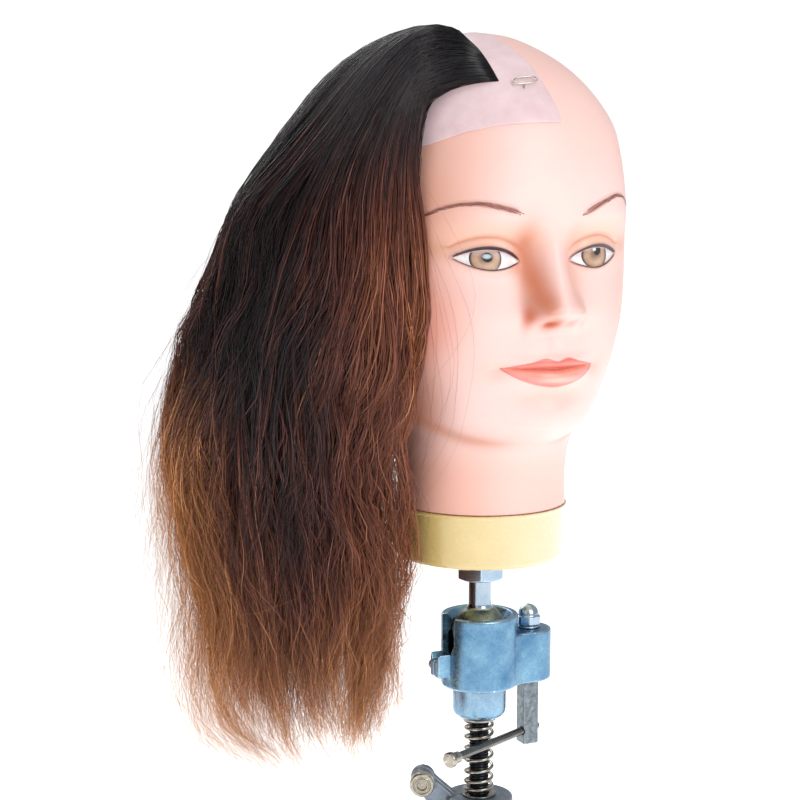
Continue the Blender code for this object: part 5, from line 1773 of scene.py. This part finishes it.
def strand_mesh(name, paths, radius, gold, seed, *nodes):
    """Three-sided tubes, closed at both ends; U picks a tone, V the bleaching."""
    n, count, _ = paths.shape
    tangent = unit(np.gradient(paths, axis=1))
    side = unit(np.cross(tangent, np.array([0.31, 0.93, 0.17])))
    other = np.cross(tangent, side)
    angles = [2 * math.pi * k / 3 for k in range(3)]
    verts = np.stack([paths + radius[..., None] * (math.cos(a) * side + math.sin(a) * other)
                      for a in angles], 2).reshape(-1, 3) * MM

    base = (np.arange(n) * count * 3)[:, None, None]
    ring = np.arange(count - 1)[None, :, None] * 3
    corner = np.arange(3)[None, None, :]
    following = (corner + 1) % 3
    quads = np.stack([base + ring + corner, base + ring + following,
                      base + ring + 3 + following, base + ring + 3 + corner], -1).reshape(-1, 4)
    first = base[:, 0, 0]
    last = first + (count - 1) * 3
    root_caps = np.stack([first + 2, first + 1, first], -1)
    tip_caps = np.stack([last, last + 1, last + 2], -1)
    loops = np.concatenate([quads.ravel(), root_caps.ravel(), tip_caps.ravel()])
    starts = np.concatenate([np.arange(len(quads)) * 4, len(quads) * 4 + np.arange(2 * n) * 3])
    mesh = bpy.data.meshes.new(name)
    mesh.vertices.add(len(verts))
    mesh.vertices.foreach_set("co", verts.astype(np.float32).ravel())
    mesh.loops.add(len(loops))
    mesh.loops.foreach_set("vertex_index", loops.astype(np.int32))
    mesh.polygons.add(len(starts))
    mesh.polygons.foreach_set("loop_start", starts.astype(np.int32))
    mesh.update(calc_edges=True)

    tone = np.random.default_rng(seed).integers(0, HAIR_TONES, n)
    width = 1 / HAIR_TONES
    step = 0.64 * width / 3
    left = (tone * width + 0.18 * width)[:, None, None] + corner * step + 0 * ring
    right = left + step
    height = 0.01 + 0.98 * gold
    low = np.repeat(height[:, :-1, None], 3, 2)
    high = np.repeat(height[:, 1:, None], 3, 2)
    quad_uv = np.stack([np.stack(pair, -1) for pair in
                        ((left, low), (right, low), (right, high), (left, high))], 3)
    cap_uvs = [np.stack([left[:, 0], np.repeat(height[:, end, None], 3, 1)], -1)
               for end in (0, -1)]
    uvs = np.concatenate([part.reshape(-1, 2) for part in (quad_uv, *cap_uvs)])
    layer = mesh.uv_layers.new(name="OFBake")
    layer.data.foreach_set("uv", uvs.astype(np.float32).ravel())
    mesh.shade_smooth()
    mesh.materials.append(HAIR)
    mesh.validate()
    mount(link_object(name, mesh), "head", "hair", *nodes)


HAIR_LAYERS = [
    # name, strands, seed, share of strays, thickness
    ("hair_layer_1", 1720, 101, 0.02, 1.00),
    ("hair_layer_2", 1720, 202, 0.03, 0.97),
    ("hair_layer_3", 1720, 303, 0.05, 0.92),
    ("hair_layer_4", 1720, 404, 0.08, 0.86),
    ("hair_layer_5", 1720, 606, 0.10, 0.82),
    ("hair_layer_6", 1720, 707, 0.14, 0.78),
    ("hair_wisps", 1720, 505, 0.40, 0.52),
    ("hair_wisps_2", 1500, 808, 0.55, 0.46),
]
for name, strands, seed, stray_share, thickness in HAIR_LAYERS:
    paths, radius, gold = make_strands(strands, seed, stray_share, thickness, "wisps" in name)
    nodes = ["hair"] if name == "hair_layer_1" else []
    strand_mesh(name, inside_box(keep_clear(paths)), radius, gold, seed + 7, *nodes)


def hair_depth_mass():
    """Soft dark depth behind the strands, the inner hair darkened as painted shade: two sheets
    joined round their rim.
    """
    rows, columns = 44, 46
    around = np.linspace(0.07, 0.97, rows)

    def layer_sheet(layer, gap):
        paths = strands_through(around, np.full(rows, layer), np.full(rows, 0.10),
                                np.full(rows, 140.0), columns)
        return keep_clear(paths, gap)

    outer, inner = layer_sheet(0.60, 2.4), layer_sheet(0.04, 1.2)
    apart = np.linalg.norm(outer - inner, axis=2, keepdims=True)
    outer = inner + (outer - inner) * np.maximum(1.0, 1.2 / np.maximum(apart, 1e-3))
    # gathers toward the middle at the bottom
    gather = 0.45 * smooth(0.80, 1.0, np.linspace(0, 1, columns))[None, :, None]
    middle = outer.mean(0, keepdims=True) * 0.5 + inner.mean(0, keepdims=True) * 0.5
    outer = outer * (1 - gather) + middle * gather
    inner = inner * (1 - gather) + middle * gather

    size = rows * columns
    index = np.arange(size).reshape(rows, columns).tolist()
    quads = [(index[i][j], index[i + 1][j], index[i + 1][j + 1], index[i][j + 1])
             for i in range(rows - 1) for j in range(columns - 1)]
    faces = quads + [tuple(v + size for v in quad[::-1]) for quad in quads]
    rim = (index[0] + [index[i][-1] for i in range(1, rows)] + index[-1][-2::-1]
           + [index[i][0] for i in range(rows - 2, 0, -1)])
    faces += [(a, b, b + size, a + size) for a, b in zip(rim, rim[1:] + rim[:1])]
    verts = np.concatenate([outer.reshape(-1, 3), inner.reshape(-1, 3)])
    mesh = bpy.data.meshes.new("hair_depth_mass")
    mesh.from_pydata((verts * MM).tolist(), [], faces)
    recalc_normals(mesh)
    mesh.shade_smooth()
    mount(link_object("hair_depth_mass", mesh, UNDERLAY), "head", "hair")


hair_depth_mass()


def stray_hairs():
    """A few single hairs fallen over the cheek, the neck and the cap."""
    random = np.random.default_rng(77)
    n, count = 12, 27
    around = random.random(n) * 0.05
    paths = strands_through(around, 0.6 + 0.4 * random.random(n), random.random(n) * 0.03,
                            100 + 110 * random.random(n), count)
    share = np.linspace(0, 1, count)[None, :]
    size = 6 + 26 * random.random((n, 1))
    swing = np.clip((share - 0.30) / (0.45 + 0.3 * random.random((n, 1))), 0, 1)
    reach = size * np.sin(math.pi * swing) ** 1.2
    paths = paths - reach[..., None] * LEFT - (0.35 * reach)[..., None] * DEPTH
    ripple = 1.6 * np.sin(share * 22 + random.random((n, 1)) * 6)
    paths = paths + ripple[..., None] * LEFT * smooth(0.2, 0.5, share)[..., None]
    strand_mesh("stray_hairs", inside_box(keep_clear(paths, 0.35)), np.full((n, count), 0.04),
                np.tile(np.clip(0.25 + 0.5 * share, 0, 1), (n, 1)), 5)


stray_hairs()

# ---- Floor and world, in metres
floor_shape = bmesh.new()
bmesh.ops.create_grid(floor_shape, x_segments=1, y_segments=1, size=6.0)
floor = new_object("floor", floor_shape)
floor.location.z = -0.20
floor_material = Material("pale_floor")
floor_material.set(Base_Color=rgb(250, 250, 250), Roughness=0.9,
                   Emission_Color=(1.0, 1.0, 1.0), Emission_Strength=0.72)
floor.data.materials.append(floor_material.data)
floor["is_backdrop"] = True

world = bpy.data.worlds.new("studio")
SCENE.world = world
world.use_nodes = True
nodes, links = world.node_tree.nodes, world.node_tree.links
background = nodes["Background"]
background.inputs["Color"].default_value = (1, 1, 1, 1)
# brighter to the camera than as a light
light_path = nodes.new("ShaderNodeLightPath")
strength = nodes.new("ShaderNodeMapRange")
strength.inputs["To Min"].default_value = 0.46
strength.inputs["To Max"].default_value = 1.05
links.new(light_path.outputs["Is Camera Ray"], strength.inputs["Value"])
links.new(strength.outputs["Result"], background.inputs["Strength"])

# ---- Lights and camera
VIEW_RISE = math.radians(8.14)      # the camera looks down by this much
TO_CAMERA = Vector((math.sin(VIEW_TURN) * math.cos(VIEW_RISE),
                    -math.cos(VIEW_TURN) * math.cos(VIEW_RISE), math.sin(VIEW_RISE)))
RIGHT = Vector((math.cos(VIEW_TURN), math.sin(VIEW_TURN), 0))
LOOK_AT = Vector((0, 0, 0.2582)) + RIGHT * -0.0435


def area_light(name, toward_camera, right, up, aim_z, size, power, colour=(1, 1, 1),
               size_y=None):
    """Rectangular light placed from LOOK_AT and aimed at a height on the Z axis."""
    light = bpy.data.lights.new(name, "AREA")
    light.energy = power
    light.color = colour
    light.shape = "RECTANGLE"
    light.size = size
    light.size_y = size_y or size
    obj = bpy.data.objects.new(name, light)
    SCENE.collection.objects.link(obj)
    place = LOOK_AT + TO_CAMERA * toward_camera + RIGHT * right + Vector((0, 0, up))
    obj.location = place
    obj.rotation_mode = "QUATERNION"
    obj.rotation_quaternion = (Vector((0, 0, aim_z)) - place).to_track_quat("-Z", "Y")


area_light("key", toward_camera=1.0, right=0.75, up=0.55, aim_z=0.32, size=0.8, size_y=1.0,
           power=8.6, colour=(1.0, 0.99, 0.985))
area_light("fill", toward_camera=1.1, right=-1.0, up=0.2, aim_z=0.28, size=1.0, power=1.6,
           colour=(1.0, 0.93, 0.88))
area_light("rim", toward_camera=-0.9, right=-0.5, up=0.8, aim_z=0.3, size=0.9, power=6.0)
area_light("top", toward_camera=0.0, right=0.0, up=1.1, aim_z=0.4, size=0.9, power=2.5,
           colour=(0.95, 0.97, 1.0))

camera_data = bpy.data.cameras.new("camera")
camera = bpy.data.objects.new("camera", camera_data)
SCENE.collection.objects.link(camera)
SCENE.camera = camera
camera_data.sensor_width = 36.0
camera_data.lens = 83.916
camera_data.clip_start = 0.05
camera_data.clip_end = 50
camera_turn = Matrix((RIGHT, TO_CAMERA.cross(RIGHT), TO_CAMERA)).transposed()
camera.matrix_world = Matrix.Translation(LOOK_AT + TO_CAMERA * 1.001) @ camera_turn.to_4x4()

SCENE.view_settings.view_transform = "Standard"
